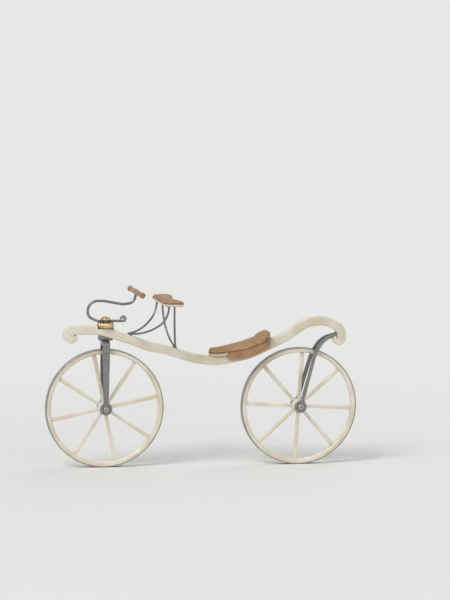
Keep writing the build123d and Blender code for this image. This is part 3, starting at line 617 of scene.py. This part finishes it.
def welt(path, radius):
    """A round welt on a closed path: path + radius (cos a side + sin a over).

    side lies level across the path, and over is square to the path and to side.
    """
    tangent = unit(np.roll(path, -1, axis=0) - np.roll(path, 1, axis=0))
    side = unit(np.cross(tangent, [0.0, 0.0, 1.0]))
    over = np.cross(side, tangent)
    a = np.linspace(0, 2 * np.pi, WELT_SIDES, endpoint=False)[None, :, None]
    ring = path[:, None] + radius * (np.cos(a) * side[:, None] + np.sin(a) * over[:, None])
    ring = np.concatenate([ring, ring[:1]])
    return ring.reshape(-1, 3), grid_faces(len(ring), WELT_SIDES)


print("turnings ready, a nail head has", len(dome(1.0, 1.0)[1]), "faces before its poles close")

# %% [markdown]
# ## The bent line of the perch
# The perch is the long wooden backbone. A carpenter steams a beam to straight runs joined by arcs.
# Along such a line the heading stays the same on a run and turns evenly with arc length on an arc, so
# it is piecewise linear in arc length. Reading it off with interp and adding up its cosine and sine
# gives the whole line at once. Its few corners are those of the CAD source, because the saddle and
# the stays' palms sit on the perch's upper side.

# %% Bent lines
PERCH_DEPTH = 53 * MM
# Share of the wheelbase from the rear axle, then millimetres: x beyond it, height over the wheels, radius
PERCH_CORNERS = [
    (1.0, 200, 112.5, 0), (1.0, 42, 112.5, 330), (1.0, -110, 67, 300), (1.0, -260, 12, 400),
    (0.6838, 0, -10, 500), (0.547, 0, -60, 420), (0.4376, 0, -78, 360), (0.265, 0, -40, 420),
    (0.0, 90, 64, 420), (0.0, -34, 148, 170), (0.0, -153, 163, 150), (0.0, -250.5, 112, 62),
    (0.0, -250.5, 52, 0),
]
PERCH_STEP, OUTLINE_STEP = 2 * MM, 3 * MM


def bent_line(corners, step):
    """Points and headings of runs joined by tangent arcs, from rows of x, y and bending radius.

    The line is the running sum of (cos h, sin h) ds, with the heading h piecewise linear in s.
    """
    table = np.array(corners, dtype=float)
    legs = np.diff(table[:, :2], axis=0)
    heading = np.unwrap(np.arctan2(legs[:, 1], legs[:, 0]))
    turn = np.abs(np.diff(heading))
    trim = table[1:-1, 2] * np.tan(turn / 2)
    runs = np.zeros(2 * len(legs) - 1)
    runs[0::2] = np.hypot(legs[:, 0], legs[:, 1]) - np.append(0, trim) - np.append(trim, 0)
    runs[1::2] = table[1:-1, 2] * turn
    ends = np.append(0, np.cumsum(runs))
    s = np.linspace(0, ends[-1], int(ends[-1] / step) + 2)
    h = np.interp(s, ends, np.repeat(heading, 2))
    slope = np.stack([np.cos(h), np.sin(h)], axis=-1)
    moved = np.cumsum((slope[1:] + slope[:-1]) / 2 * np.diff(s)[:, None], axis=0)
    return table[0, :2] + np.vstack([[0, 0], moved]), h


perch_line, perch_heading = bent_line([
    (REAR_HUB[0] + share * WHEELBASE + x * MM, WHEEL_TOP_Z + up * MM, radius * MM)
    for share, x, up, radius in PERCH_CORNERS], PERCH_STEP)
perch_over = np.stack([np.sin(perch_heading), -np.cos(perch_heading)], axis=-1)   # towards the upper side
perch_top_line = perch_line + perch_over * PERCH_DEPTH / 2


def perch_top(x):
    """Height of the perch's upper side at x, clear of the scrolls."""
    return np.interp(x, perch_top_line[::-1, 0], perch_top_line[::-1, 1])


print("perch line", len(perch_line), "points, top at the head", round(float(perch_top(HEAD_X)), 4))

# %% [markdown]
# ## Stuffed leather
# A saddler cuts the hide a little smaller than the stuffing, so it swells between its seams and
# pulls in at the corners. Blender's Cloth does the same: a closed form, remeshed evenly, is blown up
# for twenty frames with no gravity, while its underside is held to the wood. How far a point may
# move is capped, and one subdivision smooths the result.

# %% Swelling
VOXEL = 5 * MM
HELD_HEIGHT = 3 * MM                # the hide is held this far up from the wood
PRESSURE = 4.0
LAST_FRAME = 20


def baked(obj):
    """The object's mesh with its modifiers worked out, put back in place of the plain one."""
    seen = obj.evaluated_get(bpy.context.evaluated_depsgraph_get())
    mesh = bpy.data.meshes.new_from_object(seen)
    obj.modifiers.clear()
    obj.data = mesh


def read_points(mesh):
    """All of a mesh's points as one array."""
    flat = np.empty(3 * len(mesh.vertices), dtype=np.float32)
    mesh.vertices.foreach_get("co", flat)
    return flat.reshape(-1, 3).astype(float)


def write_points(mesh, points):
    """Moves all of a mesh's points at once."""
    mesh.vertices.foreach_set("co", points.astype(np.float32).ravel())
    mesh.update()


def inflate(obj, cap):
    """Blows the hide up from inside as cloth, then shortens each point's move to the cap."""
    start = read_points(obj.data)
    cloth = obj.modifiers.new("cloth", "CLOTH")
    cloth.settings.quality = 6
    cloth.settings.use_pressure = True
    cloth.settings.uniform_pressure_force = PRESSURE
    cloth.settings.vertex_group_mass = "held"
    cloth.settings.effector_weights.gravity = 0.0
    cloth.collision_settings.use_collision = False
    cloth.point_cache.frame_start, cloth.point_cache.frame_end = 1, LAST_FRAME
    for moment in range(1, LAST_FRAME + 1):
        bpy.context.scene.frame_set(moment)
    baked(obj)
    moved = read_points(obj.data) - start
    far = np.linalg.norm(moved, axis=1, keepdims=True)
    write_points(obj.data, start + moved * np.minimum(1.0, cap / np.maximum(far, 1e-9)))
    bpy.context.scene.frame_set(1)


def swell(obj, floor_of, cap):
    """A closed form, remeshed, held below, blown up and smoothed. floor_of is the wood's height at (x, y)."""
    even = obj.modifiers.new("even", "REMESH")
    even.mode = "VOXEL"
    even.voxel_size = VOXEL
    baked(obj)
    x, y, z = read_points(obj.data).T
    held = obj.vertex_groups.new(name="held")
    held.add(np.flatnonzero(z < floor_of(x, y) + HELD_HEIGHT).tolist(), 1.0, "REPLACE")
    inflate(obj, cap)
    smooth = obj.modifiers.new("smooth", "SUBSURF")
    smooth.levels = smooth.render_levels = 1
    baked(obj)
    obj.vertex_groups.clear()
    obj.data.shade_smooth()
    print(obj.name, "swollen to", len(obj.data.polygons), "faces")


print("swelling ready")

# %% [markdown]
# A seam, its stitches and a row of nails come after the swelling, because remeshing would smooth
# them away. Each is laid on a path over the hide: the path is walked in even steps, and each step
# drops to the nearest point of the leather, whose normal says which way is out.

# %% Seams, stitches and nails
STITCH_LENGTH, STITCH_R = 3.6 * MM, 0.75 * MM


def sew(obj, dent):
    """Pulls a soft piece in along a seam: dent gives the depth from each point's place, along its normal."""
    points = read_points(obj.data)
    normals = np.empty(3 * len(points), dtype=np.float32)
    obj.data.vertices.foreach_get("normal", normals)
    write_points(obj.data, points - normals.reshape(-1, 3) * dent(points)[:, None])


def on_surface(obj, targets):
    """The nearest point of a piece to each target, and the outward normal there."""
    tree = BVHTree.FromObject(obj, bpy.context.evaluated_depsgraph_get())
    found = [tree.find_nearest(Vector(target)) for target in targets]
    return np.array([row[0] for row in found]), np.array([row[1] for row in found])


def evenly(path, spacing, closed=True):
    """Points a set distance apart along a path, and their headings."""
    ring = np.vstack([path, path[:1]]) if closed else path
    s = np.append(0, np.cumsum(np.linalg.norm(np.diff(ring, axis=0), axis=1)))
    count = int(round(s[-1] / spacing))
    at = (np.arange(count) + 0.5) * s[-1] / count
    spots = np.stack([np.interp(at, s, ring[:, k]) for k in range(3)], axis=-1)
    ahead = np.stack([np.interp(at + MM, s, ring[:, k]) for k in range(3)], axis=-1)
    return spots, unit(ahead - spots)


def stitch():
    """One stitch: a spindle, x = L/2 sin t and radius r cos t, lying along x."""
    t = np.linspace(-np.pi / 2, np.pi / 2, 6)
    points, faces = turning(np.stack([STITCH_R * np.cos(t), STITCH_LENGTH / 2 * np.sin(t)], axis=-1), 6)
    return points[:, [2, 0, 1]], faces


def brass_nails(name, piece, path, spacing, head):
    """A row of brass nails driven where an even walk along a path comes nearest to a leather piece."""
    spots, ahead = evenly(path, spacing)
    spots, normals = on_surface(piece, spots)
    return new_piece(name, *copies(head, spots, normals, ahead), "frame", "brass", turned_brass)


print("seams ready")

# %% [markdown]
# ## Saddle
# From above the seat is a pear, broad behind and narrow in front. Its outline is the same bent line
# as in the CAD source. The cushion's section from the middle out is a superellipse: the distance from
# the spine grows as cos to a power, the height as sin to a power, nearly square below where it sits
# on the tree and round on top. The rear swells up into a cantle. The form starts smaller than the
# finished seat by as much as it may swell.

# %% Saddle cushion
SADDLE_REAR_X = low_of("saddle_pad")[0]
SADDLE_LENGTH = high_of("saddle_pad")[0] - SADDLE_REAR_X
# share of the length, half width and corner radius in millimetres, from rear to front
SADDLE_OUTLINE = [(0.0, 92, 55), (0.36, 88, 120), (0.64, 48, 120), (1.0, 40, 30)]
TREE_THICK, PAD_THICK = 14 * MM, 42 * MM
CANTLE_RISE, CANTLE_LENGTH = 18 * MM, 105 * MM
NOSE_DROP = 4 * MM
SEAT_SWELL = 5 * MM
SPINE_START, SPINE_END = 80 * MM, 335 * MM      # from the saddle's rear
CUSHION_ROWS, CUSHION_GAP = 24, 0.8 * MM


def saddle_outline(inset):
    """The closed pear from above, its points inset towards the middle, counter-clockwise from the nose."""
    left = [(SADDLE_REAR_X + inset + share * (SADDLE_LENGTH - 2 * inset), half * MM - inset, radius * MM)
            for share, half, radius in SADDLE_OUTLINE]
    left = [(left[0][0], 0, 0), *left, (left[-1][0], 0, 0)]
    half_line = bent_line(left, OUTLINE_STEP)[0]
    return np.vstack([half_line[::-1][:-1], half_line[:-1] * [1, -1]])


def tree_top(x, y=0.0):
    """Height of the saddle tree's upper side at x, level across the machine."""
    return perch_top(x) + TREE_THICK


def cushion(name, outline, spine, floor_of, thick_of, low_power, high_power):
    """A closed cushion: out from the spine by |cos t| to a power, up by sin t to a power.

    The power is 2 over low_power below the widest line and 2 over high_power above it, so a high
    number makes a square edge and 2 a round one.
    """
    t = np.linspace(-np.pi / 2, np.pi / 2, CUSHION_ROWS)[:, None]
    power = np.where(t < 0, 2 / low_power, 2 / high_power)
    out = np.abs(np.cos(t)) ** power
    rise = 0.5 + 0.5 * np.sign(t) * np.abs(np.sin(t)) ** power
    flat = spine[None] + (outline - spine)[None] * out[..., None]
    x, y = flat[..., 0], flat[..., 1]
    z = np.broadcast_to(floor_of(x, y) + CUSHION_GAP + rise * thick_of(x, y), x.shape)
    points = np.stack([x, y, z], axis=-1)
    return new_piece(name, points, grid_faces(*x.shape), "frame", "saddle_leather", seat_leather)


def seat_thickness(x, y):
    """Full in the middle, with the cantle's swelling as a smooth rise towards the rear."""
    back = np.clip(1 - (x - SADDLE_REAR_X) / CANTLE_LENGTH, 0, 1)
    nose = np.clip((x - SADDLE_REAR_X) / SADDLE_LENGTH, 0, 1)
    return PAD_THICK - SEAT_SWELL + CANTLE_RISE * back ** 1.3 - NOSE_DROP * nose ** 4


pear = saddle_outline(SEAT_SWELL)
spine_x = np.clip(pear[:, 0], SADDLE_REAR_X + SPINE_START, SADDLE_REAR_X + SPINE_END)
spine = np.column_stack([spine_x, np.zeros(len(pear))])
seat = cushion("saddle_cushion", pear, spine, tree_top, seat_thickness, low_power=7.0, high_power=2.7)
swell(seat, tree_top, SEAT_SWELL)
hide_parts("saddle_pad")

# %% [markdown]
# Where the seat meets the tree, the saddler covers the raw edges with a round welt of leather.

# %% Saddle welt
SADDLE_WELT_INSET, SADDLE_WELT_R, SADDLE_WELT_UP = 3.5 * MM, 3.2 * MM, 4.0 * MM

saddle_edge = saddle_outline(SADDLE_WELT_INSET)
edge_height = tree_top(saddle_edge[:, 0])
welt_path = np.column_stack([saddle_edge, edge_height + SADDLE_WELT_UP])
new_piece("saddle_welt", *welt(welt_path, SADDLE_WELT_R), "frame", "saddle_leather", skirt_leather)

# %% [markdown]
# A seam runs across the seat in front of the cantle, bowed forward in the middle. It is a groove
# pressed along the normal, its depth a bell curve of the distance from the seam, and it fades out
# down the sides. A row of stitches lies on each of its banks.

# %% Saddle seam
CANTLE_SEAM_X = SADDLE_REAR_X + 96 * MM
SEAM_BOW = 2.6                      # metres back for each square metre of distance from the middle
SEAM_DEPTH, SEAM_WIDTH = 4.5 * MM, 6 * MM
SEAM_START, SEAM_FADE = 14 * MM, 10 * MM        # height over the tree where the groove begins
SEAM_HALF_SPAN = 74 * MM
SEAM_OVER_TREE = 52 * MM            # the stitches' path runs at about the seat's height here
STITCH_BANK, STITCH_PITCH = 5.5 * MM, 6 * MM


def cantle_seam(y):
    """The cantle seam's place along the seat: bowed forward in the middle."""
    return CANTLE_SEAM_X - SEAM_BOW * y ** 2


def seat_dent(points):
    """The cantle seam's groove on the upper side: depth times exp(-(distance / width) squared)."""
    x, y, z = points.T
    upper = np.clip((z - tree_top(x) - SEAM_START) / SEAM_FADE, 0, 1)
    return SEAM_DEPTH * np.exp(-((x - cantle_seam(y)) / SEAM_WIDTH) ** 2) * upper


sew(seat, seat_dent)
seam_y = np.linspace(-SEAM_HALF_SPAN, SEAM_HALF_SPAN, 200)
seam_x = cantle_seam(seam_y)
seam_path = np.column_stack([seam_x, seam_y, tree_top(seam_x) + SEAM_OVER_TREE])
banks = [evenly(seam_path + [bank, 0, 0], STITCH_PITCH, closed=False) for bank in (-STITCH_BANK, STITCH_BANK)]
seam_spots, seam_ahead = [np.vstack(part) for part in zip(*banks)]
seam_spots, seam_normals = on_surface(seat, seam_spots)
new_piece("saddle_seam_stitches", *copies(stitch(), seam_spots, seam_normals, seam_ahead),
          "frame", "saddle_leather", thread)

# %% [markdown]
# A close row of domed brass nails above the welt holds the hide to the tree. The walk is a ring at
# one height over the tree, and each nail sits square on the leather beside it.

# %% Saddle nails
SADDLE_NAIL_UP, SADDLE_NAIL_PITCH = 12 * MM, 17 * MM
SADDLE_NAIL = dome(4.2 * MM, 2.2 * MM)

nail_path = np.column_stack([saddle_edge, edge_height + SADDLE_NAIL_UP])
brass_nails("saddle_nails", seat, nail_path, SADDLE_NAIL_PITCH, SADDLE_NAIL)

# %% [markdown]
# ## Saddle skirts
# A skirt of single hide hangs from the tree's edge down each side. It is a sheet over two
# parameters: along the pear's outline and down from the tree. Its lower corners are rounded, its
# lower edge swings out a little and ripples. Solidify gives it the hide's thickness.

# %% Skirts
HIDE_THICK, HIDE_ROUNDING = 4 * MM, 1 * MM
SKIRT_START, SKIRT_LENGTH = 16 * MM, 246 * MM   # from the saddle's rear
SKIRT_DROP, SKIRT_CORNER = 32 * MM, 18 * MM
SKIRT_INSET, SKIRT_TUCK = 0.4 * MM, 0.6 * MM    # in from the tree's edge, and down from its top
SKIRT_SWING, SKIRT_RIPPLE, SKIRT_WAVE = 1.5 * MM, 1.2 * MM, 28 * MM
SKIRT_ROWS = 14


def skirt_sheet(side):
    """The grid of one skirt and its length: along the outline by arc length s, down by a share v.

    The lower edge is lifted near its ends by R - sqrt(R squared - d squared), which rounds its
    corners, and swings out by v squared times (swing + ripple sin(s / wave)).
    """
    pear_edge = saddle_outline(SKIRT_INSET)
    start_x = SADDLE_REAR_X + SKIRT_START
    kept = (pear_edge[:, 1] > 0) & (pear_edge[:, 0] > start_x) & (pear_edge[:, 0] < start_x + SKIRT_LENGTH)
    line = pear_edge[kept]
    s = np.append(0, np.cumsum(np.linalg.norm(np.diff(line, axis=0), axis=1)))
    near_end = np.clip(SKIRT_CORNER - np.minimum(s, s[-1] - s), 0, SKIRT_CORNER)
    lift = SKIRT_CORNER - np.sqrt(SKIRT_CORNER ** 2 - near_end ** 2)
    out = unit(np.column_stack([-np.gradient(line[:, 1]), np.gradient(line[:, 0])]))
    out *= np.sign(out[:, 1:2])
    v = np.linspace(0, 1, SKIRT_ROWS)[:, None]
    swing = v ** 2 * (SKIRT_SWING + SKIRT_RIPPLE * np.sin(s / SKIRT_WAVE))
    top = perch_top(line[:, 0]) + TREE_THICK - SKIRT_TUCK
    low = perch_top(line[:, 0]) - SKIRT_DROP + lift
    x = line[:, 0] + out[:, 0] * swing
    y = (line[:, 1] + out[:, 1] * swing) * side
    return np.stack([x, y, top + (low - top) * v], axis=-1), float(s[-1])


def grid_area(points):
    """The sum of the grid's quads, each half the length of its diagonals' cross product."""
    first = points[1:, 1:] - points[:-1, :-1]
    second = points[1:, :-1] - points[:-1, 1:]
    return float(np.linalg.norm(np.cross(first, second), axis=-1).sum() / 2)


def thicken(obj):
    """Gives a sheet its hide's thickness inwards and rounds the cut edge."""
    hide = obj.modifiers.new("hide", "SOLIDIFY")
    hide.thickness = HIDE_THICK
    hide.offset = -1.0
    hide.use_even_offset = True
    round_off = obj.modifiers.new("round_off", "BEVEL")
    round_off.width = HIDE_ROUNDING
    round_off.segments = 2
    round_off.limit_method = "ANGLE"


for hand, side in (("left", 1), ("right", -1)):
    grid, length = skirt_sheet(side)
    faces = grid_faces(*grid.shape[:2], wrap=False)[:, ::side]
    skirt = new_piece("saddle_skirt_" + hand, grid, faces, "frame", "saddle_leather", skirt_leather,
                      closed=False)
    thicken(skirt)
    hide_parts("saddle_flap_" + hand)
    print(skirt.name, "runs", round(length, 3), "area", round(grid_area(grid), 5))

# %% [markdown]
# ## Arm-rest
# The arm-rest is a board hollowed behind, under a thin stuffed pad. Its outline is one closed bent
# line too: the hollow is the arc between its two tangents, which meet well inside. The spine runs
# along the board's middle, so that the same cushion surface fits it.

# %% Arm-rest cushion
REST_LOW, REST_HIGH = low_of("arm_rest_pad"), high_of("arm_rest_pad")
BOARD_TOP_Z = high_of("arm_rest_board")[2]
REST_CORNER = 40 * MM
HOLLOW_HALF, HOLLOW_TANGENT, HOLLOW_R, HOLLOW_CORNER = 165 * MM, 71 * MM, 400 * MM, 12 * MM
REST_SPINE_HALF, REST_BOW = 175 * MM, 17 * MM
REST_THICK, REST_SWELL = 18 * MM, 4 * MM        # before it swells, and by how much


def rest_outline(inset):
    """The hollowed bar from above, counter-clockwise from the middle of its front edge."""
    front, rear, end = REST_HIGH[0] - inset, REST_LOW[0] + inset, REST_HIGH[1] - inset
    corner = REST_CORNER - inset
    left = [(front, end, corner), (rear, end, corner), (rear, HOLLOW_HALF + inset, HOLLOW_CORNER)]
    right = [(x, -y, r) for x, y, r in reversed(left)]
    middle = (rear + HOLLOW_TANGENT, 0.0, HOLLOW_R)
    return bent_line([(front, 0.0, 0.0), *left, middle, *right, (front, 0.0, 0.0)], OUTLINE_STEP)[0][:-1]


def rest_spine(outline):
    """The board's middle line beside each outline point: it bows forward as the hollow does."""
    y = np.clip(outline[:, 1], -REST_SPINE_HALF, REST_SPINE_HALF)
    bow = REST_BOW * np.clip(1 - (y / HOLLOW_HALF) ** 2, 0, 1)
    return np.stack([(REST_LOW[0] + REST_HIGH[0]) / 2 + bow, y], axis=-1)


def board_top(x, y):
    """Height of the arm-rest board's upper side, level all over."""
    return BOARD_TOP_Z


bar = rest_outline(REST_SWELL)
rest = cushion("arm_rest_cushion", bar, rest_spine(bar), board_top, lambda x, y: REST_THICK,
               low_power=6.0, high_power=2.6)
swell(rest, board_top, REST_SWELL)
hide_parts("arm_rest_pad")

# %% [markdown]
# The arm-rest is finished as the saddle is, with a finer welt round its foot and smaller nails.

# %% Arm-rest welt and nails
REST_WELT_INSET, REST_WELT_R, REST_WELT_UP = 2.6 * MM, 2.8 * MM, 2.9 * MM
REST_NAIL_UP, REST_NAIL_PITCH = 8.4 * MM, 18 * MM
REST_NAIL = dome(3.6 * MM, 2.0 * MM)

rest_edge = rest_outline(REST_WELT_INSET)
rest_edge = np.column_stack([rest_edge, np.full(len(rest_edge), BOARD_TOP_Z)])
welt_path = rest_edge + [0, 0, REST_WELT_UP]
new_piece("arm_rest_welt", *welt(welt_path, REST_WELT_R), "frame", "saddle_leather", skirt_leather)
nail_path = rest_edge + [0, 0, REST_NAIL_UP]
brass_nails("arm_rest_nails", rest, nail_path, REST_NAIL_PITCH, REST_NAIL)

# %% [markdown]
# ## Smith's and wheelwright's fastenings
# Small fastenings tell how the machine was put together. Each kind is one dome copied to a table of
# places. The first are the screws through the stays' round palms: two in each, either side of the
# stay, down into the perch at its foot and up into the arm-rest's board at its top.

# %% Screws in the palms
# millimetres behind the head and to the side, of the stay's foot and of its top under the arm-rest
STAYS = [((144, 15), (340, 192)), ((416, 15), (373, 192))]
PALM_THICK, PALM_SCREW_OUT = 4 * MM, 8.7 * MM
SCREW = dome(2.3 * MM, 1.0 * MM, sides=10)
BOARD_UNDER_Z = low_of("arm_rest_board")[2]


def palm_screws():
    """The screws' places and outward normals, for the stays on both sides of the machine."""
    spots, normals = [], []
    for (foot_back, foot_y), (top_back, top_y) in np.array(STAYS) * MM:
        foot_x, top_x = HEAD_X - foot_back, HEAD_X - top_back
        along_x, along_y = unit(np.array([top_x - foot_x, top_y - foot_y]))
        slope = (perch_top(foot_x + MM) - perch_top(foot_x - MM)) / (2 * MM)
        for side in (1, -1):
            for away in (PALM_SCREW_OUT, -PALM_SCREW_OUT):
                x = foot_x - along_y * away
                spots.append((x, (foot_y + along_x * away) * side, perch_top(x) + PALM_THICK))
                normals.append((-slope, 0.0, 1.0))
                spots.append((top_x, (top_y + away) * side, BOARD_UNDER_Z - PALM_THICK))
                normals.append((0.0, 0.0, -1.0))
    return np.array(spots), unit(np.array(normals))


screw_spots, screw_normals = palm_screws()
screw_ahead = np.tile([1.0, 0.0, 0.0], (len(screw_spots), 1))
screws = copies(SCREW, screw_spots, screw_normals, screw_ahead)
new_piece("palm_screws", *screws, "frame", "wrought_iron", wrought_iron)

# %% [markdown]
# A tyre is shrunk on hot and then nailed to each felloe, close to both of its ends and in its middle.
# The felloes meet midway between two spokes. The iron bands on each end of the nave are held by six
# small pins, so that they can't creep off as the wood dries.

# %% Nails in the wheels
FELLOE_COUNT, PIN_COUNT = 4, 6
TYRE_NAILS = np.array([-4.0, 4.0, 45.0])        # degrees from each joint between felloes
BAND_R, BAND_Y = 31.5 * MM, 41.5 * MM
TYRE_NAIL, BAND_PIN = dome(4.5 * MM, 0.7 * MM), dome(1.9 * MM, 0.8 * MM, sides=8)
AXLE = np.array([0.0, 1.0, 0.0])


def round_hub(wheel, head, up, radius, y):
    """Heads at hub + radius (-cos a, 0, sin a) + y along the axle, a being degrees up from straight back."""
    a = np.radians(up)
    out = np.stack([-np.cos(a), np.zeros(len(a)), np.sin(a)], axis=-1)
    return copies(head, HUBS[wheel] + out * radius + np.outer(y, AXLE), out, np.cross(out, AXLE))


for wheel, spoke in FIRST_SPOKE.items():
    joint = spoke + SPOKE_PITCH / 2
    joints = joint + 360.0 / FELLOE_COUNT * np.arange(FELLOE_COUNT)
    up = (joints[:, None] + TYRE_NAILS).ravel()
    nails = round_hub(wheel, TYRE_NAIL, up, WHEEL_R, np.zeros(len(up)))
    new_piece(wheel + "_tyre_nails", *nails, wheel + "_wheel", "tyre_iron", tyre_iron)
    up = np.tile(joint + 360.0 / PIN_COUNT * np.arange(PIN_COUNT), 2)
    y = np.repeat([BAND_Y, -BAND_Y], PIN_COUNT)
    pins = round_hub(wheel, BAND_PIN, up, BAND_R, y)
    new_piece(wheel + "_band_pins", *pins, wheel + "_wheel", "wrought_iron", wrought_iron)

# %% [markdown]
# The steering stem passes up through the brass cap, and the smith hammers its end over into a low
# round head, so that nothing can work loose. It turns with the steering, so it rides on that body.

# %% The stem's riveted end
RIVET = dome(8.5 * MM, 4.0 * MM, sides=24)
CAP_TOP = np.array([[HEAD_X, 0.0, high_of("cap_nut")[2]]])
UP, FORWARD = np.array([[0.0, 0.0, 1.0]]), np.array([[1.0, 0.0, 0.0]])
new_piece("stem_rivet", *copies(RIVET, CAP_TOP, UP, FORWARD), "steering", "wrought_iron", wrought_iron)

# %% [markdown]
# ## Floor, backdrop and light
# The floor is a large sheet that fades out between two radii, so the paler backdrop takes over and
# no horizon shows. Where it is clear, the world's colour shows through it.

# %% Floor
FLOOR_TONE = (0.76, 0.76, 0.75)
FLOOR_HALF = 8.0
FADE_START, FADE_END = 1.6, 5.5     # metres from the machine's middle


def add_floor():
    """A square sheet under the wheels, diffuse in the middle and clear beyond the fade."""
    x, y = np.meshgrid([-FLOOR_HALF, FLOOR_HALF], [-FLOOR_HALF, FLOOR_HALF])
    points = np.stack([x + AIM[0], y, np.full_like(x, GROUND_Z)], axis=-1)
    mesh = bpy.data.meshes.new("floor")
    mesh.from_pydata(points.reshape(-1, 3).tolist(), [], grid_faces(2, 2, wrap=False).tolist())
    floor = bpy.data.objects.new("floor", mesh)
    bpy.context.scene.collection.objects.link(floor)
    paint = Paint("floor_sheet")
    x, y = paint.split(paint.spot(centre=(AIM[0], 0.0, 0.0)))[:2]
    away = (x * x + y * y).math("SQRT").step(FADE_START, FADE_END)
    sheet = paint.node("ShaderNodeBsdfDiffuse", (), {"Color": FLOOR_TONE})
    clear = paint.node("ShaderNodeBsdfTransparent")
    faded = paint.node("ShaderNodeMixShader", (), [away, sheet, clear])
    paint.feed(paint.tree.nodes["Material Output"].inputs["Surface"], faded)
    paint.tree.nodes.remove(paint.shader)
    mesh.materials.append(paint.owner)


add_floor()
print("floor at", round(float(GROUND_Z), 3))

# %% [markdown]
# Three broad suns and a pale sky light the machine at a level at which a colour renders as it is
# written. The camera, glossy and transmission rays see a backdrop in the sky's place, so that its
# paleness doesn't depend on the light. It dims overhead, which gives polished metal something dark
# to reflect beside the bright.

# %% Lamps and sky
BACKDROP = (0.80, 0.80, 0.79)
SKY = 0.34                          # strength of the sky as a light
OVERHEAD_DIM = 0.65                 # share of the backdrop's light that is missing overhead
LAMP_DISTANCE = 6.0
# name, degrees round from the camera, degrees up, strength, degrees of spread
SUNS = [("key", -38, 48, 1.9, 28), ("fill", 48, 25, 0.55, 60), ("back", 150, 50, 0.6, 50)]


def add_sun(name, around, up, strength, spread):
    """A broad sun that shines from an angle round the camera's azimuth."""
    data = bpy.data.lights.new(name, "SUN")
    data.energy = strength
    data.angle = np.radians(spread)
    holder = bpy.data.objects.new(name, data)
    bpy.context.scene.collection.objects.link(holder)
    back = Vector(toward(CAMERA_AZIMUTH + np.radians(around), np.radians(up)))
    holder.location = Vector(AIM) + back * LAMP_DISTANCE
    holder.rotation_euler = back.to_track_quat("Z", "Y").to_euler()


def add_world():
    """The sky as a light, in whose place the camera and the metal see the backdrop, which dims overhead."""
    paint = Paint("studio", bpy.data.worlds)
    kinds = ("Is Camera Ray", "Is Glossy Ray", "Is Transmission Ray")
    camera_ray, glossy_ray, glass_ray = [paint.node("ShaderNodeLightPath", out=kind) for kind in kinds]
    seen = camera_ray.math("MAXIMUM", glossy_ray).math("MAXIMUM", glass_ray)
    height = paint.split(paint.node("ShaderNodeTexCoord", out="Generated"))[2]
    sky = paint.node("ShaderNodeBackground", (), {"Color": (1.0, 1.0, 1.0), "Strength": SKY})
    backdrop = paint.node("ShaderNodeBackground", (), {
        "Color": BACKDROP, "Strength": 1.0 - height.step(0.2, 0.7) * OVERHEAD_DIM})
    shown = paint.node("ShaderNodeMixShader", (), [seen, sky, backdrop])
    paint.feed(paint.tree.nodes["World Output"].inputs["Surface"], shown)
    bpy.context.scene.world = paint.owner


for row in SUNS:
    add_sun(*row)
add_world()
bpy.context.scene.view_settings.view_transform = "Standard"
print("lit by", [row[0] for row in SUNS])
